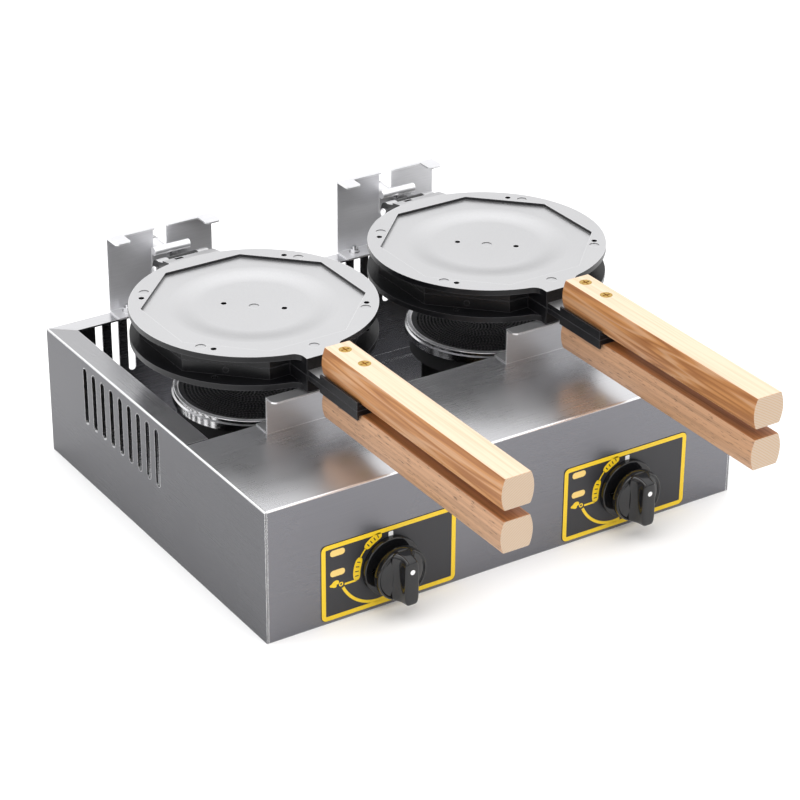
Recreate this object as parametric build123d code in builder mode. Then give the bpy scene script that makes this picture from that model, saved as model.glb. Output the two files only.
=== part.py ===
from build123d import *
import os
from math import cos, radians, sin

# Two-head gas waffle cone baker.
# Frame: +X right, +Y to the back, +Z up. Origin on the floor, under the middle of the housing.
# All sizes in millimetres.

os.makedirs("parts", exist_ok=True)

# ---------------------------------------------------------------- driving dimensions
# Housing
housing_w = 464
housing_d = 380
housing_h = 120
sheet = 1.5
seam = 0.4
bend_r = 1.8
deck_d = 128
deck_lip = 14
side_rim = 21.5
back_rim = 18
bottom_lip = 15
front_lip = 20
pan_sheet = 1.2
pan_slot_len = 44
pan_slot_pitch = 18
pan_slot_rows = 5

# Vent slots, round ended, standing upright
vent_w = 7
vent_h = 54
vent_top_margin = 8
side_vent_pitch = 16.2
side_vent_count = 9
side_vent_mid_y = 52
back_vent_pitch = 15.85
back_vent_count = 24

# Baking heads
head_x = 118
head_y = 22
plate_r = 105
mould_t = 30.5
flange_t = 5
parting_z = 170.75
parting_gap = 0.3
body_r = 96.5
recess_r = 95
recess_depth = 2.6
dish_r = 60
dish_soft = 12
dish_depth = 2.2
bake_r = 86
bake_depth = 1.3
neck_w = 35.4
neck_reach = 116
neck_fillet = 9
hole_d = 5
hole_depth = 9
mark_d = 9
mark_depth = 0.5
neck_mark_inset = 7
rim_hole_r = 94.5
rim_hole_angles = (145, -140, -34, 44)
rim_mark_angles = (138, -147, -39.5, 36)
dish_hole_r = 26
dish_hole_angles = (137, -41)
side_boss_d = 5
side_boss_h = 0.7

# Handles
tang_w = 32.6
tang_t = 4.4
tang_len = 74
tang_lip_t = 1.9
tang_lip_h = 3.4
handle_w = 29.6
handle_flat_w = 23.4
handle_h = 27.2
handle_len = 253
handle_gap_to_neck = 17.5
handle_edge_r = 2
handle_end_r = 1
handle_screw_setback = 12.5
handle_screw_pitch = 29
screw_head_d = 10.5
screw_shank_d = 4.4
screw_head_t = 3
screw_head_edge = 0.6
screw_tip_gap = 0.4
screw_slot_w = 1.2
screw_slot_depth = 0.9

# Rear hinge of the mould
hinge_y = 147
hinge_pin_d = 6
knuckle_r = 9.5
lug_half_w = 25
lug_inner_w = 14.6
lug_joint_gap = 0.3
lug_back = 1
lug_slope_y = 8
lug_slope_drop = 4.5
lug_slot_w = 8
lug_slot_d = 4.5
lug_slot_x = -11
lug_slot_deep = 6
lug_slot_inset = 1.5
root_overlap = 1
bridge_slope_drop = 2
pin_head_d = 9.5
pin_head_t = 4
pin_head_r = 1.2
pin_end = 2

# Spigot shaft, its bush on the tilting saddle, and its collar
shaft_d = 7
running_clear = 0.05
shaft_chamfer = 0.8
shaft_start_gap = 1
shaft_len = 53
boss_d = 14
boss_end = 13
collar_d = 12
collar_t = 4
collar_back = 14
saddle_half_w = 17.5
saddle_rod_d = 8
saddle_rod_y = 168
saddle_rod_rise = 8.2
saddle_leaf_drop = 11
bush_d = 11
bush_back = 9

# Rear bracket
bracket_w = 104
bracket_top = 192.3
bracket_slot_w = 13.2
bracket_slot_bottom = 9.4
bracket_lip = 5
bracket_tab_w = 15
bracket_tab_d = 20
bracket_tab_r = 4
bracket_foot_d = 20
bracket_bolt_x = 39
bracket_bolt_inset = 10
bolt_washer_r = 5
bolt_washer_t = 1
bolt_nut_r = 4.1
bolt_nut_t = 3.4
bolt_stub = 2.6

# Front rest
rest_w = 96.8
rest_y = -81
rest_flange = 11
rest_flange_r = 5
rest_foot = 18
rest_screw_x = 38
rest_drop = 2.5

# Burner
burner_top = 109
burner_ring_r = 71.5
burner_ring_h = 10
burner_ring_in = 65.5
burner_plate_t = 1.5
burner_plate_drop = 1
bowl_wall = 3
bowl_foot_r = 30
bridge_z = 62
bridge_w = 56
bridge_span = 120
bridge_foot = 14
neck_pipe_d = 36
neck_pipe_drop = 42
mixer_d = 26
mixer_wall = 2.5
mixer_len = 146

# Controls
knob_z = 38
label_w = 128
label_h = 70
label_t = 0.5
label_corner_r = 4
escutcheon_d = 52
escutcheon_t = 5
escutcheon_pocket = 3.5
knob_gap = 8
knob_d = 46
knob_skirt_t = 7
knob_grip_h = 14.5
knob_grip_w = 13
knob_grip_len = 44
knob_bore_depth = 14
stem_d = 8
stem_clear = 0.1
stem_hole_d = 10
valve_flange_w = 44
valve_flange_h = 20
valve_flange_t = 3
valve_w = 28
valve_len = 46
valve_screw_x = 15
valve_screw_d = 4
valve_screw_head_d = 8
screw_pocket_clear = 0.3
valve_screw_head_t = 2
chamber_d = 15
chamber_y = 4
chamber_len = 13
plug_d = 18
plug_len = 24
plug_clear = 0.06
plug_pocket = 5
plug_bore_depth = 14
stem_in_plug = 8
spring_coil_d = 11
spring_wire_d = 1
spring_turns = 4
jet_d = 9
jet_len = 16
jet_hole_d = 1.2

# Gas pipes
pipe_d = 14
pipe_wall = 1.5
pipe_z = 16.5
pipe_right_x = 206
pipe_bend_r = 16
inlet_d = 12
inlet_out = 32
inlet_nut_d = 20
inlet_nut_t = 9
inlet_bore_d = 7
inlet_thread_d = 11
inlet_flange_t = 5

# ---------------------------------------------------------------- derived places
front_y = -housing_d / 2
back_y = housing_d / 2
side_x = housing_w / 2
deck_y = front_y + deck_d
cover_half_w = side_x - sheet - seam
rim_in_x = side_x - side_rim
rim_in_y = back_y - back_rim
vent_z = housing_h - vent_top_margin - vent_h / 2
neck_front_y = head_y - neck_reach
tang_end_y = neck_front_y - tang_len
handle_back_y = neck_front_y - handle_gap_to_neck
handle_screw_ys = (
    handle_back_y - handle_screw_setback,
    handle_back_y - handle_screw_setback - handle_screw_pitch,
)
rest_top = parting_z - mould_t / 2 - rest_drop
valve_front_y = front_y + sheet
valve_back_y = valve_front_y + valve_len
lip_top = pan_sheet + sheet
flat_r = body_r * cos(radians(22.5))
root_y = head_y + flat_r - root_overlap
plug_front_y = valve_front_y + chamber_y + chamber_len
label_front_y = front_y - label_t
escutcheon_front_y = label_front_y - escutcheon_t
knob_back_y = escutcheon_front_y - knob_gap
pipe_y = valve_front_y + valve_len / 2
HEADS = (("left", -head_x), ("right", head_x))


# ---------------------------------------------------------------- helpers
def level(x, y, z):
    """Horizontal sketch plane through a point: local x is X, local y is Y, normal up."""
    return Plane(origin=(x, y, z))


def upright(x, y, z):
    """Sketch plane that faces the front: local x is X, local y is Z, normal towards -Y."""
    return Plane(origin=(x, y, z), x_dir=(1, 0, 0), z_dir=(0, -1, 0))


def profile(x, y, z):
    """Sketch plane that faces the right side: local x is Y, local y is Z, normal towards +X."""
    return Plane(origin=(x, y, z), x_dir=(0, 1, 0), z_dir=(1, 0, 0))


def save(block, name):
    """Label a finished piece and write its STEP file."""
    block.part.label = name
    export_step(block.part, f"parts/{name}.step")


def rim_mitre_y(x, shift=0.0):
    """Depth of the mitre line between a side rim and the back rim at the distance x from the middle."""
    return back_y - back_rim * (side_x - shift - x) / side_rim


# ---------------------------------------------------------------- housing
def side_panel(name, side):
    """Side sheet with vents, an inward rim mitred at the back, and a bottom lip."""
    with BuildPart() as panel:
        with BuildSketch(profile(side * (side_x - sheet / 2), 0, housing_h / 2)):
            Rectangle(housing_d, housing_h)
        extrude(amount=sheet / 2, both=True)
        with BuildSketch(level(0, 0, housing_h - sheet)):
            with BuildLine():
                Polyline(
                    (side * side_x, deck_y + seam),
                    (side * rim_in_x, deck_y + seam),
                    (side * rim_in_x, rim_in_y),
                    (side * side_x, back_y),
                    close=True,
                )
            make_face()
        extrude(amount=sheet)
        with BuildSketch(level(side * (side_x - bottom_lip / 2), (front_lip - sheet) / 2, pan_sheet)):
            Rectangle(bottom_lip, housing_d - front_lip - sheet - 2 * seam)
        extrude(amount=sheet)
        outer = panel.edges().filter_by(Axis.Y).group_by(Axis.Z)[-1].sort_by(Axis.X)
        fillet(outer[-1] if side > 0 else outer[0], bend_r)
        with BuildSketch(profile(side * (side_x - sheet / 2), side_vent_mid_y, vent_z)):
            with GridLocations(side_vent_pitch, 0, side_vent_count, 1):
                SlotOverall(vent_h, vent_w, rotation=90)
        extrude(amount=sheet, both=True, mode=Mode.SUBTRACT)
    save(panel, name)


def back_panel():
    """Back sheet between the sides, with vents, a forward rim and a hole for the gas inlet."""
    with BuildPart() as panel:
        with BuildSketch(upright(0, back_y, housing_h / 2)):
            Rectangle(2 * cover_half_w, housing_h)
        extrude(amount=sheet)
        with BuildSketch(level(0, 0, housing_h - sheet)):
            with BuildLine():
                Polyline(
                    (cover_half_w, back_y),
                    (cover_half_w, rim_mitre_y(cover_half_w, seam)),
                    (rim_in_x - seam, rim_in_y),
                    (-rim_in_x + seam, rim_in_y),
                    (-cover_half_w, rim_mitre_y(cover_half_w, seam)),
                    (-cover_half_w, back_y),
                    close=True,
                )
            make_face()
        extrude(amount=sheet)
        with BuildSketch(level(0, back_y - bottom_lip / 2, pan_sheet)):
            Rectangle(2 * (side_x - bottom_lip - seam), bottom_lip)
        extrude(amount=sheet)
        fillet(panel.edges().filter_by(Axis.X).group_by(Axis.Z)[-1].sort_by(Axis.Y)[-1], bend_r)
        with BuildSketch(upright(0, back_y, vent_z)):
            with GridLocations(back_vent_pitch, 0, back_vent_count, 1):
                SlotOverall(vent_h, vent_w, rotation=90)
        extrude(amount=2 * sheet, both=True, mode=Mode.SUBTRACT)
        with BuildSketch(upright(pipe_right_x, back_y, pipe_z)):
            Circle(inlet_thread_d / 2 + seam)
        extrude(amount=2 * sheet, both=True, mode=Mode.SUBTRACT)
    save(panel, "back_panel")


def front_cover():
    """Front panel and deck, bent from one sheet, with the holes for the valves."""
    with BuildPart() as cover:
        with BuildSketch(profile(-cover_half_w, 0, 0)):
            with BuildLine():
                Polyline(
                    (front_y, 0),
                    (front_y, housing_h),
                    (deck_y, housing_h),
                    (deck_y, housing_h - deck_lip),
                    (deck_y - sheet, housing_h - deck_lip),
                    (deck_y - sheet, housing_h - sheet),
                    (front_y + sheet, housing_h - sheet),
                    (front_y + sheet, lip_top),
                    (front_y + front_lip, lip_top),
                    (front_y + front_lip, pan_sheet),
                    (front_y + sheet, pan_sheet),
                    (front_y + sheet, 0),
                    close=True,
                )
            make_face()
        extrude(amount=2 * cover_half_w)
        top_edges = cover.edges().filter_by(Axis.X).group_by(Axis.Z)[-1].sort_by(Axis.Y)
        fillet([top_edges[0], top_edges[-1]], bend_r)
        for _, hx in HEADS:
            with BuildSketch(upright(hx, front_y, knob_z)):
                Circle(stem_hole_d / 2)
                with Locations((-valve_screw_x, 0), (valve_screw_x, 0)):
                    Circle(valve_screw_d / 2 + stem_clear)
            extrude(amount=2 * sheet, both=True, mode=Mode.SUBTRACT)
    save(cover, "front_cover")


def base_pan():
    """Bottom sheet under the lips of the housing, with air slots under each burner."""
    pan_w = 2 * (side_x - sheet - seam)
    pan_front = front_y + sheet + seam
    pan_back = back_y - sheet - seam
    with BuildPart() as pan:
        with BuildSketch(level(0, (pan_front + pan_back) / 2, 0)):
            Rectangle(pan_w, pan_back - pan_front)
        extrude(amount=pan_sheet)
        for _, hx in HEADS:
            with BuildSketch(level(hx, head_y, 0)):
                with GridLocations(2 * bridge_w, pan_slot_pitch, 2, pan_slot_rows):
                    SlotOverall(pan_slot_len, vent_w)
            extrude(amount=pan_sheet, mode=Mode.SUBTRACT)
    save(pan, "base_pan")


# ---------------------------------------------------------------- rear bracket and front rest
def rear_bracket(name, hx):
    """Bent bracket with an open-topped slot for the shaft, two front tabs and a foot on the back rim."""
    slot_low = parting_z - bracket_slot_bottom
    tab_x = bracket_w / 2 - bracket_tab_w / 2
    with BuildPart() as bracket:
        with BuildSketch(upright(hx, back_y, 0)):
            with Locations((0, (housing_h + bracket_top) / 2)):
                Rectangle(bracket_w, bracket_top - housing_h)
        extrude(amount=sheet)
        with BuildSketch(level(hx, 0, bracket_top - sheet)):
            with Locations((0, back_y - bracket_lip / 2)):
                Rectangle(bracket_w, bracket_lip)
            with Locations((-tab_x, back_y - bracket_tab_d / 2), (tab_x, back_y - bracket_tab_d / 2)):
                Rectangle(bracket_tab_w, bracket_tab_d)
            tab_front = vertices().group_by(Axis.Y)[0]
            fillet(tab_front, bracket_tab_r)
        extrude(amount=sheet)
        with BuildSketch(level(hx, back_y - bracket_foot_d / 2, housing_h)):
            Rectangle(bracket_w, bracket_foot_d)
        extrude(amount=sheet)
        with BuildSketch(upright(hx, back_y, slot_low + bracket_slot_w / 2)):
            Circle(bracket_slot_w / 2)
            with Locations((0, bracket_top / 4)):
                Rectangle(bracket_slot_w, bracket_top / 2)
        extrude(amount=bracket_lip + sheet, both=True, mode=Mode.SUBTRACT)
        rear_top = bracket.edges().filter_by(Axis.X).group_by(Axis.Z)[-1].group_by(Axis.Y)[-1]
        fillet(rear_top, sheet * 0.8)
        with BuildSketch(level(hx, back_y - bracket_bolt_inset, housing_h)):
            with Locations((-bracket_bolt_x, 0), (bracket_bolt_x, 0)):
                Circle(valve_screw_d / 2 + stem_clear)
        extrude(amount=sheet, mode=Mode.SUBTRACT)
    save(bracket, name)


def bracket_bolts():
    """Studs with washers and nuts that hold both rear brackets on the back rim."""
    foot_top = housing_h + sheet
    with BuildPart() as bolts:
        for _, hx in HEADS:
            for bolt_x in (hx - bracket_bolt_x, hx + bracket_bolt_x):
                spot_y = back_y - bracket_bolt_inset
                with BuildSketch(level(bolt_x, spot_y, foot_top)):
                    Circle(bolt_washer_r)
                extrude(amount=bolt_washer_t)
                with BuildSketch(level(bolt_x, spot_y, foot_top + bolt_washer_t)):
                    RegularPolygon(bolt_nut_r, 6)
                extrude(amount=bolt_nut_t)
                with BuildSketch(level(bolt_x, spot_y, foot_top + bolt_washer_t + bolt_nut_t)):
                    Circle(valve_screw_d / 2)
                extrude(amount=bolt_stub)
    save(bolts, "bracket_bolts")


def front_rest(name, hx):
    """Bent rest under the neck of the mould: foot on the deck, upstand, flange folded forward."""
    with BuildPart() as rest:
        with BuildSketch(profile(hx - rest_w / 2, 0, 0)):
            with BuildLine():
                Polyline(
                    (rest_y - rest_flange, rest_top),
                    (rest_y + sheet, rest_top),
                    (rest_y + sheet, housing_h + sheet),
                    (rest_y + rest_foot, housing_h + sheet),
                    (rest_y + rest_foot, housing_h),
                    (rest_y, housing_h),
                    (rest_y, rest_top - sheet),
                    (rest_y - rest_flange, rest_top - sheet),
                    close=True,
                )
            make_face()
        extrude(amount=rest_w)
        fillet(rest.edges().filter_by(Axis.Z).group_by(Axis.Y)[0], rest_flange_r)
        with BuildSketch(level(hx, rest_y + (rest_foot + sheet) / 2, housing_h)):
            with Locations((-rest_screw_x, 0), (rest_screw_x, 0)):
                Circle(valve_screw_d / 2 + stem_clear)
        extrude(amount=sheet, mode=Mode.SUBTRACT)
    save(rest, name)


def rest_screws():
    """Dome-headed screws that hold both front rests on the deck."""
    with BuildPart() as screws:
        for _, hx in HEADS:
            for screw_x in (hx - rest_screw_x, hx + rest_screw_x):
                with BuildSketch(level(screw_x, rest_y + (rest_foot + sheet) / 2, housing_h + sheet)):
                    Circle(valve_screw_head_d / 2)
                extrude(amount=valve_screw_head_t, taper=20)
    save(screws, "rest_screws")


# ---------------------------------------------------------------- mould plates
def screw_pair(hx, side, grow=0.0):
    """Solid of the two handle screws of one bar, larger all round by grow where it is used as a cutter."""
    outer = parting_z + side * (parting_gap / 2 + tang_t + handle_h)
    inner = parting_z + side * (parting_gap / 2 + screw_tip_gap)
    with BuildPart() as pair:
        for screw_y in handle_screw_ys:
            with BuildSketch(upright(hx, screw_y, 0)):
                with BuildLine():
                    Polyline(
                        (0, outer + side * grow),
                        (screw_head_d / 2 + grow, outer + side * grow),
                        (screw_head_d / 2 + grow, outer - side * screw_head_edge),
                        (screw_shank_d / 2 + grow, outer - side * screw_head_t),
                        (screw_shank_d / 2 + grow, inner - side * grow),
                        (0, inner - side * grow),
                        close=True,
                    )
                make_face()
            revolve(axis=Axis((hx, screw_y, 0), (0, 0, 1)))
    return pair.part


def plate_blank(hx, side):
    """Everything that the two plates share: disc, octagonal body, neck, tang, recess, dish and holes."""
    inner = parting_z + side * parting_gap / 2
    outer = parting_z + side * mould_t / 2
    neck_meet_y = -((plate_r**2 - (neck_w / 2) ** 2) ** 0.5)
    body_t = mould_t / 2 - parting_gap / 2 - flange_t
    with BuildPart() as blank:
        # Flange disc with the neck, its inner corners rounded
        with BuildSketch(level(hx, head_y, outer)):
            Circle(plate_r)
            with Locations((0, -neck_reach / 2)):
                Rectangle(neck_w, neck_reach)
            fillet(vertices().filter_by(lambda v: abs(v.Y - neck_meet_y) < 1), neck_fillet)
        extrude(amount=-side * flange_t)

        # Octagonal body with the neck, down to the parting plane
        with BuildSketch(level(hx, head_y, inner)):
            RegularPolygon(body_r, 8, rotation=22.5)
            with Locations((0, -neck_reach / 2)):
                Rectangle(neck_w, neck_reach)
        extrude(amount=side * body_t)

        # Tang under the wooden bar, with a lip along each side
        with BuildSketch(level(hx, (neck_front_y + tang_end_y) / 2, inner)):
            Rectangle(tang_w, tang_len)
        extrude(amount=side * tang_t)
        lip_len = handle_back_y - tang_end_y
        with BuildSketch(level(hx, (handle_back_y + tang_end_y) / 2, inner + side * tang_t)):
            with Locations((-(tang_w - tang_lip_t) / 2, 0), ((tang_w - tang_lip_t) / 2, 0)):
                Rectangle(tang_lip_t, lip_len)
        extrude(amount=side * tang_lip_h)

        # Octagonal recess and soft-edged dish in the outer face
        with BuildSketch(level(hx, head_y, outer)):
            RegularPolygon(recess_r, 8, rotation=22.5)
        extrude(amount=-side * recess_depth, mode=Mode.SUBTRACT)
        with BuildSketch(upright(hx, head_y, outer - side * recess_depth)):
            with BuildLine():
                Line((0, 0), (dish_r + dish_soft, 0))
                Spline(
                    (dish_r + dish_soft, 0),
                    (dish_r - dish_soft, -side * dish_depth),
                    tangents=((-1, 0), (-1, 0)),
                )
                Line((dish_r - dish_soft, -side * dish_depth), (0, -side * dish_depth))
                Line((0, -side * dish_depth), (0, 0))
            make_face()
        revolve(axis=Axis((hx, head_y, 0), (0, 0, 1)), mode=Mode.SUBTRACT)

        # Small holes and shallow round marks in the rim and the dish
        with BuildSketch(level(hx, head_y, outer)):
            for angle in rim_hole_angles:
                with Locations((rim_hole_r * cos(radians(angle)), rim_hole_r * sin(radians(angle)))):
                    Circle(hole_d / 2)
            for angle in dish_hole_angles:
                with Locations((dish_hole_r * cos(radians(angle)), dish_hole_r * sin(radians(angle)))):
                    Circle(hole_d / 2)
        extrude(amount=-side * hole_depth, mode=Mode.SUBTRACT)
        with BuildSketch(level(hx, head_y, outer)):
            for angle in rim_mark_angles:
                with Locations((rim_hole_r * cos(radians(angle)), rim_hole_r * sin(radians(angle)))):
                    Circle(mark_d / 2)
            with Locations((0, -(plate_r - neck_mark_inset))):
                Circle(mark_d / 2)
        extrude(amount=-side * mark_depth, mode=Mode.SUBTRACT)
        with BuildSketch(level(hx, head_y, outer - side * (recess_depth + dish_depth))):
            Circle(mark_d / 2)
        extrude(amount=-side * mark_depth, mode=Mode.SUBTRACT)

        # Baking recess in the inner face
        with BuildSketch(level(hx, head_y, inner)):
            Circle(bake_r)
        extrude(amount=side * bake_depth, mode=Mode.SUBTRACT)

        # Small round bosses in the middle of the four slanted sides
        for angle in (45, 135, 225, 315):
            nx, ny = cos(radians(angle)), sin(radians(angle))
            boss_at = (hx + flat_r * nx, head_y + flat_r * ny, (inner + outer - side * flange_t) / 2)
            with BuildSketch(Plane(origin=boss_at, z_dir=(nx, ny, 0))):
                Circle(side_boss_d / 2)
            extrude(amount=side_boss_h)
    return blank.part


def upper_plate(name, hx):
    """Upper half of the mould, with two lugs that turn on the hinge pin."""
    inner = parting_z + parting_gap / 2
    top = parting_z + mould_t / 2
    slope_y = head_y + plate_r - root_overlap
    bridge_y = hinge_y - knuckle_r - root_overlap
    lug_w = lug_half_w - lug_inner_w
    blank = plate_blank(hx, 1)
    screws = screw_pair(hx, 1, stem_clear)
    with BuildPart() as plate:
        add(blank)
        for lug_x in (-lug_half_w, lug_inner_w):
            with BuildSketch(profile(hx + lug_x, 0, 0)):
                with BuildLine():
                    Polyline(
                        (root_y, inner),
                        (hinge_y - lug_back, inner),
                        (hinge_y - lug_back, parting_z + knuckle_r - lug_back / 2),
                        (hinge_y - lug_slope_y, top - lug_slope_drop),
                        (slope_y, top),
                        (root_y, top),
                        close=True,
                    )
                make_face()
                with Locations((hinge_y, parting_z)):
                    Circle(knuckle_r)
            extrude(amount=lug_w)
        with BuildSketch(profile(hx - lug_half_w, 0, 0)):
            with BuildLine():
                Polyline(
                    (root_y, inner),
                    (bridge_y, inner),
                    (bridge_y, top - bridge_slope_drop),
                    (slope_y, top),
                    (root_y, top),
                    close=True,
                )
            make_face()
        extrude(amount=2 * lug_half_w)
        # The recess stays clear of the lugs' roots
        with BuildSketch(level(hx, head_y, top)):
            RegularPolygon(recess_r, 8, rotation=22.5)
        extrude(amount=-recess_depth, mode=Mode.SUBTRACT)
        with BuildSketch(level(hx + lug_slot_x, bridge_y - lug_slot_d / 2 - lug_slot_inset, top)):
            Rectangle(lug_slot_w, lug_slot_d)
        extrude(amount=-lug_slot_deep, mode=Mode.SUBTRACT)
        with BuildSketch(profile(hx - lug_half_w - 1, hinge_y, parting_z)):
            Circle(hinge_pin_d / 2 + running_clear)
        extrude(amount=2 * lug_half_w + 2, mode=Mode.SUBTRACT)
        add(screws, mode=Mode.SUBTRACT)
    save(plate, name)


def lower_plate(name, hx):
    """Lower half of the mould, with the middle knuckle and the boss that holds the spigot shaft."""
    inner = parting_z - parting_gap / 2
    bottom = parting_z - mould_t / 2
    knuckle_w = 2 * (lug_inner_w - lug_joint_gap)
    blank = plate_blank(hx, -1)
    screws = screw_pair(hx, -1, stem_clear)
    with BuildPart() as plate:
        add(blank)
        with BuildSketch(profile(hx - knuckle_w / 2, 0, 0)):
            with BuildLine():
                Polyline(
                    (root_y, inner),
                    (hinge_y, inner),
                    (hinge_y, parting_z - knuckle_r),
                    (hinge_y - knuckle_r, bottom + bridge_slope_drop),
                    (root_y, bottom),
                    close=True,
                )
            make_face()
            with Locations((hinge_y, parting_z)):
                Circle(knuckle_r)
        extrude(amount=knuckle_w)
        with BuildSketch(upright(hx, hinge_y + boss_end, parting_z)):
            Circle(boss_d / 2)
        extrude(amount=boss_end)
        with BuildSketch(level(hx, head_y, bottom)):
            RegularPolygon(recess_r, 8, rotation=22.5)
        extrude(amount=recess_depth, mode=Mode.SUBTRACT)
        with BuildSketch(profile(hx - lug_half_w, hinge_y, parting_z)):
            Circle(hinge_pin_d / 2)
        extrude(amount=2 * lug_half_w, mode=Mode.SUBTRACT)
        with BuildSketch(upright(hx, hinge_y + boss_end, parting_z)):
            Circle(shaft_d / 2)
        extrude(amount=boss_end - hinge_pin_d / 2 - shaft_start_gap, mode=Mode.SUBTRACT)
        add(screws, mode=Mode.SUBTRACT)
    save(plate, name)


def hinge_pin(name, hx):
    """Bolt through the knuckles, with its head on the left and a nut on the right."""
    pin_half = lug_half_w + lug_joint_gap
    with BuildPart() as pin:
        with BuildSketch(profile(hx - pin_half, hinge_y, parting_z)):
            Circle(hinge_pin_d / 2)
        extrude(amount=2 * pin_half + pin_head_t + pin_end)
        with BuildSketch(profile(hx - pin_half - pin_head_t, hinge_y, parting_z)):
            Circle(pin_head_d / 2)
        extrude(amount=pin_head_t)
        fillet(pin.edges().filter_by(GeomType.CIRCLE).sort_by(Axis.X)[0], pin_head_r)
        with BuildSketch(profile(hx + pin_half, hinge_y, parting_z)):
            RegularPolygon(pin_head_d / 2, 6)
        extrude(amount=pin_head_t)
    save(pin, name)


def spigot_shaft(name, hx):
    """Shaft fixed in the lower plate's boss; the whole mould turns over about it."""
    start = hinge_y + hinge_pin_d / 2 + shaft_start_gap
    with BuildPart() as shaft:
        with BuildSketch(upright(hx, start + shaft_len, parting_z)):
            Circle(shaft_d / 2)
        extrude(amount=shaft_len)
        chamfer(shaft.edges().filter_by(GeomType.CIRCLE).sort_by(Axis.Y)[-1], shaft_chamfer)
    save(shaft, name)


def shaft_collar(name, hx):
    """Collar behind the bracket that keeps the shaft from drawing forward."""
    with BuildPart() as collar:
        with BuildSketch(upright(hx, back_y + collar_back, parting_z)):
            Circle(collar_d / 2)
            Circle(shaft_d / 2, mode=Mode.SUBTRACT)
        extrude(amount=collar_t)
    save(collar, name)


def tilt_saddle(name, hx):
    """Saddle that tilts in the bracket's slot: top rod, hanging leaf and the bush around the shaft."""
    rod_z = parting_z + saddle_rod_rise
    leaf_back = saddle_rod_y + saddle_rod_d / 2
    bush_r = shaft_d / 2 + running_clear
    with BuildPart() as saddle:
        with BuildSketch(profile(hx - saddle_half_w, saddle_rod_y, rod_z)):
            Circle(saddle_rod_d / 2)
        extrude(amount=2 * saddle_half_w)
        with BuildSketch(upright(hx, leaf_back, (rod_z + parting_z - saddle_leaf_drop) / 2)):
            Rectangle(2 * saddle_half_w, rod_z - parting_z + saddle_leaf_drop)
        extrude(amount=sheet)
        with BuildSketch(upright(hx, back_y + bush_back, parting_z)):
            Circle(bush_d / 2)
        extrude(amount=back_y + bush_back - leaf_back)
        with BuildSketch(upright(hx, back_y + bush_back, parting_z)):
            Circle(bush_r)
        extrude(amount=back_y + bush_back - leaf_back + sheet, mode=Mode.SUBTRACT)
    save(saddle, name)


# ---------------------------------------------------------------- handles
def handle(name, hx, side):
    """Wooden bar: flat outer and inner faces, convex sides, bored for its two screws."""
    inner = parting_z + side * (parting_gap / 2 + tang_t)
    outer = inner + side * handle_h
    middle = (inner + outer) / 2
    edge = handle_flat_w / 2
    screws = screw_pair(hx, side, stem_clear)
    with BuildPart() as bar:
        with BuildSketch(upright(hx, handle_back_y, 0)):
            with BuildLine():
                Line((-edge, outer), (edge, outer))
                ThreePointArc((edge, outer), (handle_w / 2, middle), (edge, inner))
                Line((edge, inner), (-edge, inner))
                ThreePointArc((-edge, inner), (-handle_w / 2, middle), (-edge, outer))
            make_face()
            fillet(vertices(), handle_edge_r)
        extrude(amount=handle_len)
        fillet(bar.faces().sort_by(Axis.Y)[0].edges(), handle_end_r)
        fillet(bar.faces().sort_by(Axis.Y)[-1].edges(), handle_end_r)
        add(screws, mode=Mode.SUBTRACT)
    save(bar, name)


def handle_screws(name, hx, side):
    """Two brass countersunk screws with cross slots."""
    outer = parting_z + side * (parting_gap / 2 + tang_t + handle_h)
    pair = screw_pair(hx, side)
    with BuildPart() as screws:
        add(pair)
        for screw_y in handle_screw_ys:
            with BuildSketch(level(hx, screw_y, outer)):
                Rectangle(screw_head_d * 0.7, screw_slot_w)
                Rectangle(screw_slot_w, screw_head_d * 0.7)
            extrude(amount=-side * screw_slot_depth, mode=Mode.SUBTRACT)
    save(screws, name)


# ---------------------------------------------------------------- burners
def burner_body(name, hx):
    """Cast bowl on a hollow neck, in one piece with the mixer tube that points to the gas jet."""
    bowl_top = burner_top - burner_ring_h
    bowl_r = burner_ring_in - 1
    floor_z = bridge_z + sheet
    neck_low = floor_z - neck_pipe_drop
    neck_in = neck_pipe_d / 2 - mixer_wall
    with BuildPart() as body:
        with BuildSketch(upright(hx, head_y, 0)):
            with BuildLine():
                Polyline(
                    (0, neck_low),
                    (neck_pipe_d / 2, neck_low),
                    (neck_pipe_d / 2, floor_z),
                    (bowl_foot_r + 6, floor_z),
                    (bowl_r + bowl_wall, bowl_top - 16),
                    (bowl_r + bowl_wall, bowl_top - 3),
                    (burner_ring_r - 2, bowl_top - 3),
                    (burner_ring_r - 2, bowl_top),
                    (bowl_r, bowl_top),
                    (bowl_r, bowl_top - 14),
                    (bowl_foot_r + 3, floor_z + bowl_wall),
                    (neck_in, floor_z + bowl_wall),
                    (neck_in, neck_low + bowl_wall),
                    (0, neck_low + bowl_wall),
                    close=True,
                )
            make_face()
        revolve(axis=Axis((hx, head_y, 0), (0, 0, 1)))
        with BuildSketch(upright(hx, head_y - neck_in, knob_z)):
            Circle(mixer_d / 2)
        extrude(amount=mixer_len - neck_in)
        with BuildSketch(upright(hx, head_y - neck_in + mixer_wall, knob_z)):
            Circle(mixer_d / 2 - mixer_wall)
        extrude(amount=mixer_len, mode=Mode.SUBTRACT)
    save(body, name)


def burner_ring(name, hx):
    """Polished ring on the bowl, with a step in its top."""
    low = burner_top - burner_ring_h
    with BuildPart() as ring:
        with BuildSketch(upright(hx, head_y, 0)):
            with BuildLine():
                Polyline(
                    (burner_ring_in, low),
                    (burner_ring_r, low),
                    (burner_ring_r, burner_top - 4),
                    (burner_ring_r - 1.5, burner_top - 3),
                    (burner_ring_r - 1.5, burner_top),
                    (burner_ring_in, burner_top),
                    close=True,
                )
            make_face()
        revolve(axis=Axis((hx, head_y, 0), (0, 0, 1)))
        fillet(ring.edges().filter_by(GeomType.CIRCLE).group_by(Axis.Z)[-1], 1)
    save(ring, name)


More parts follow.
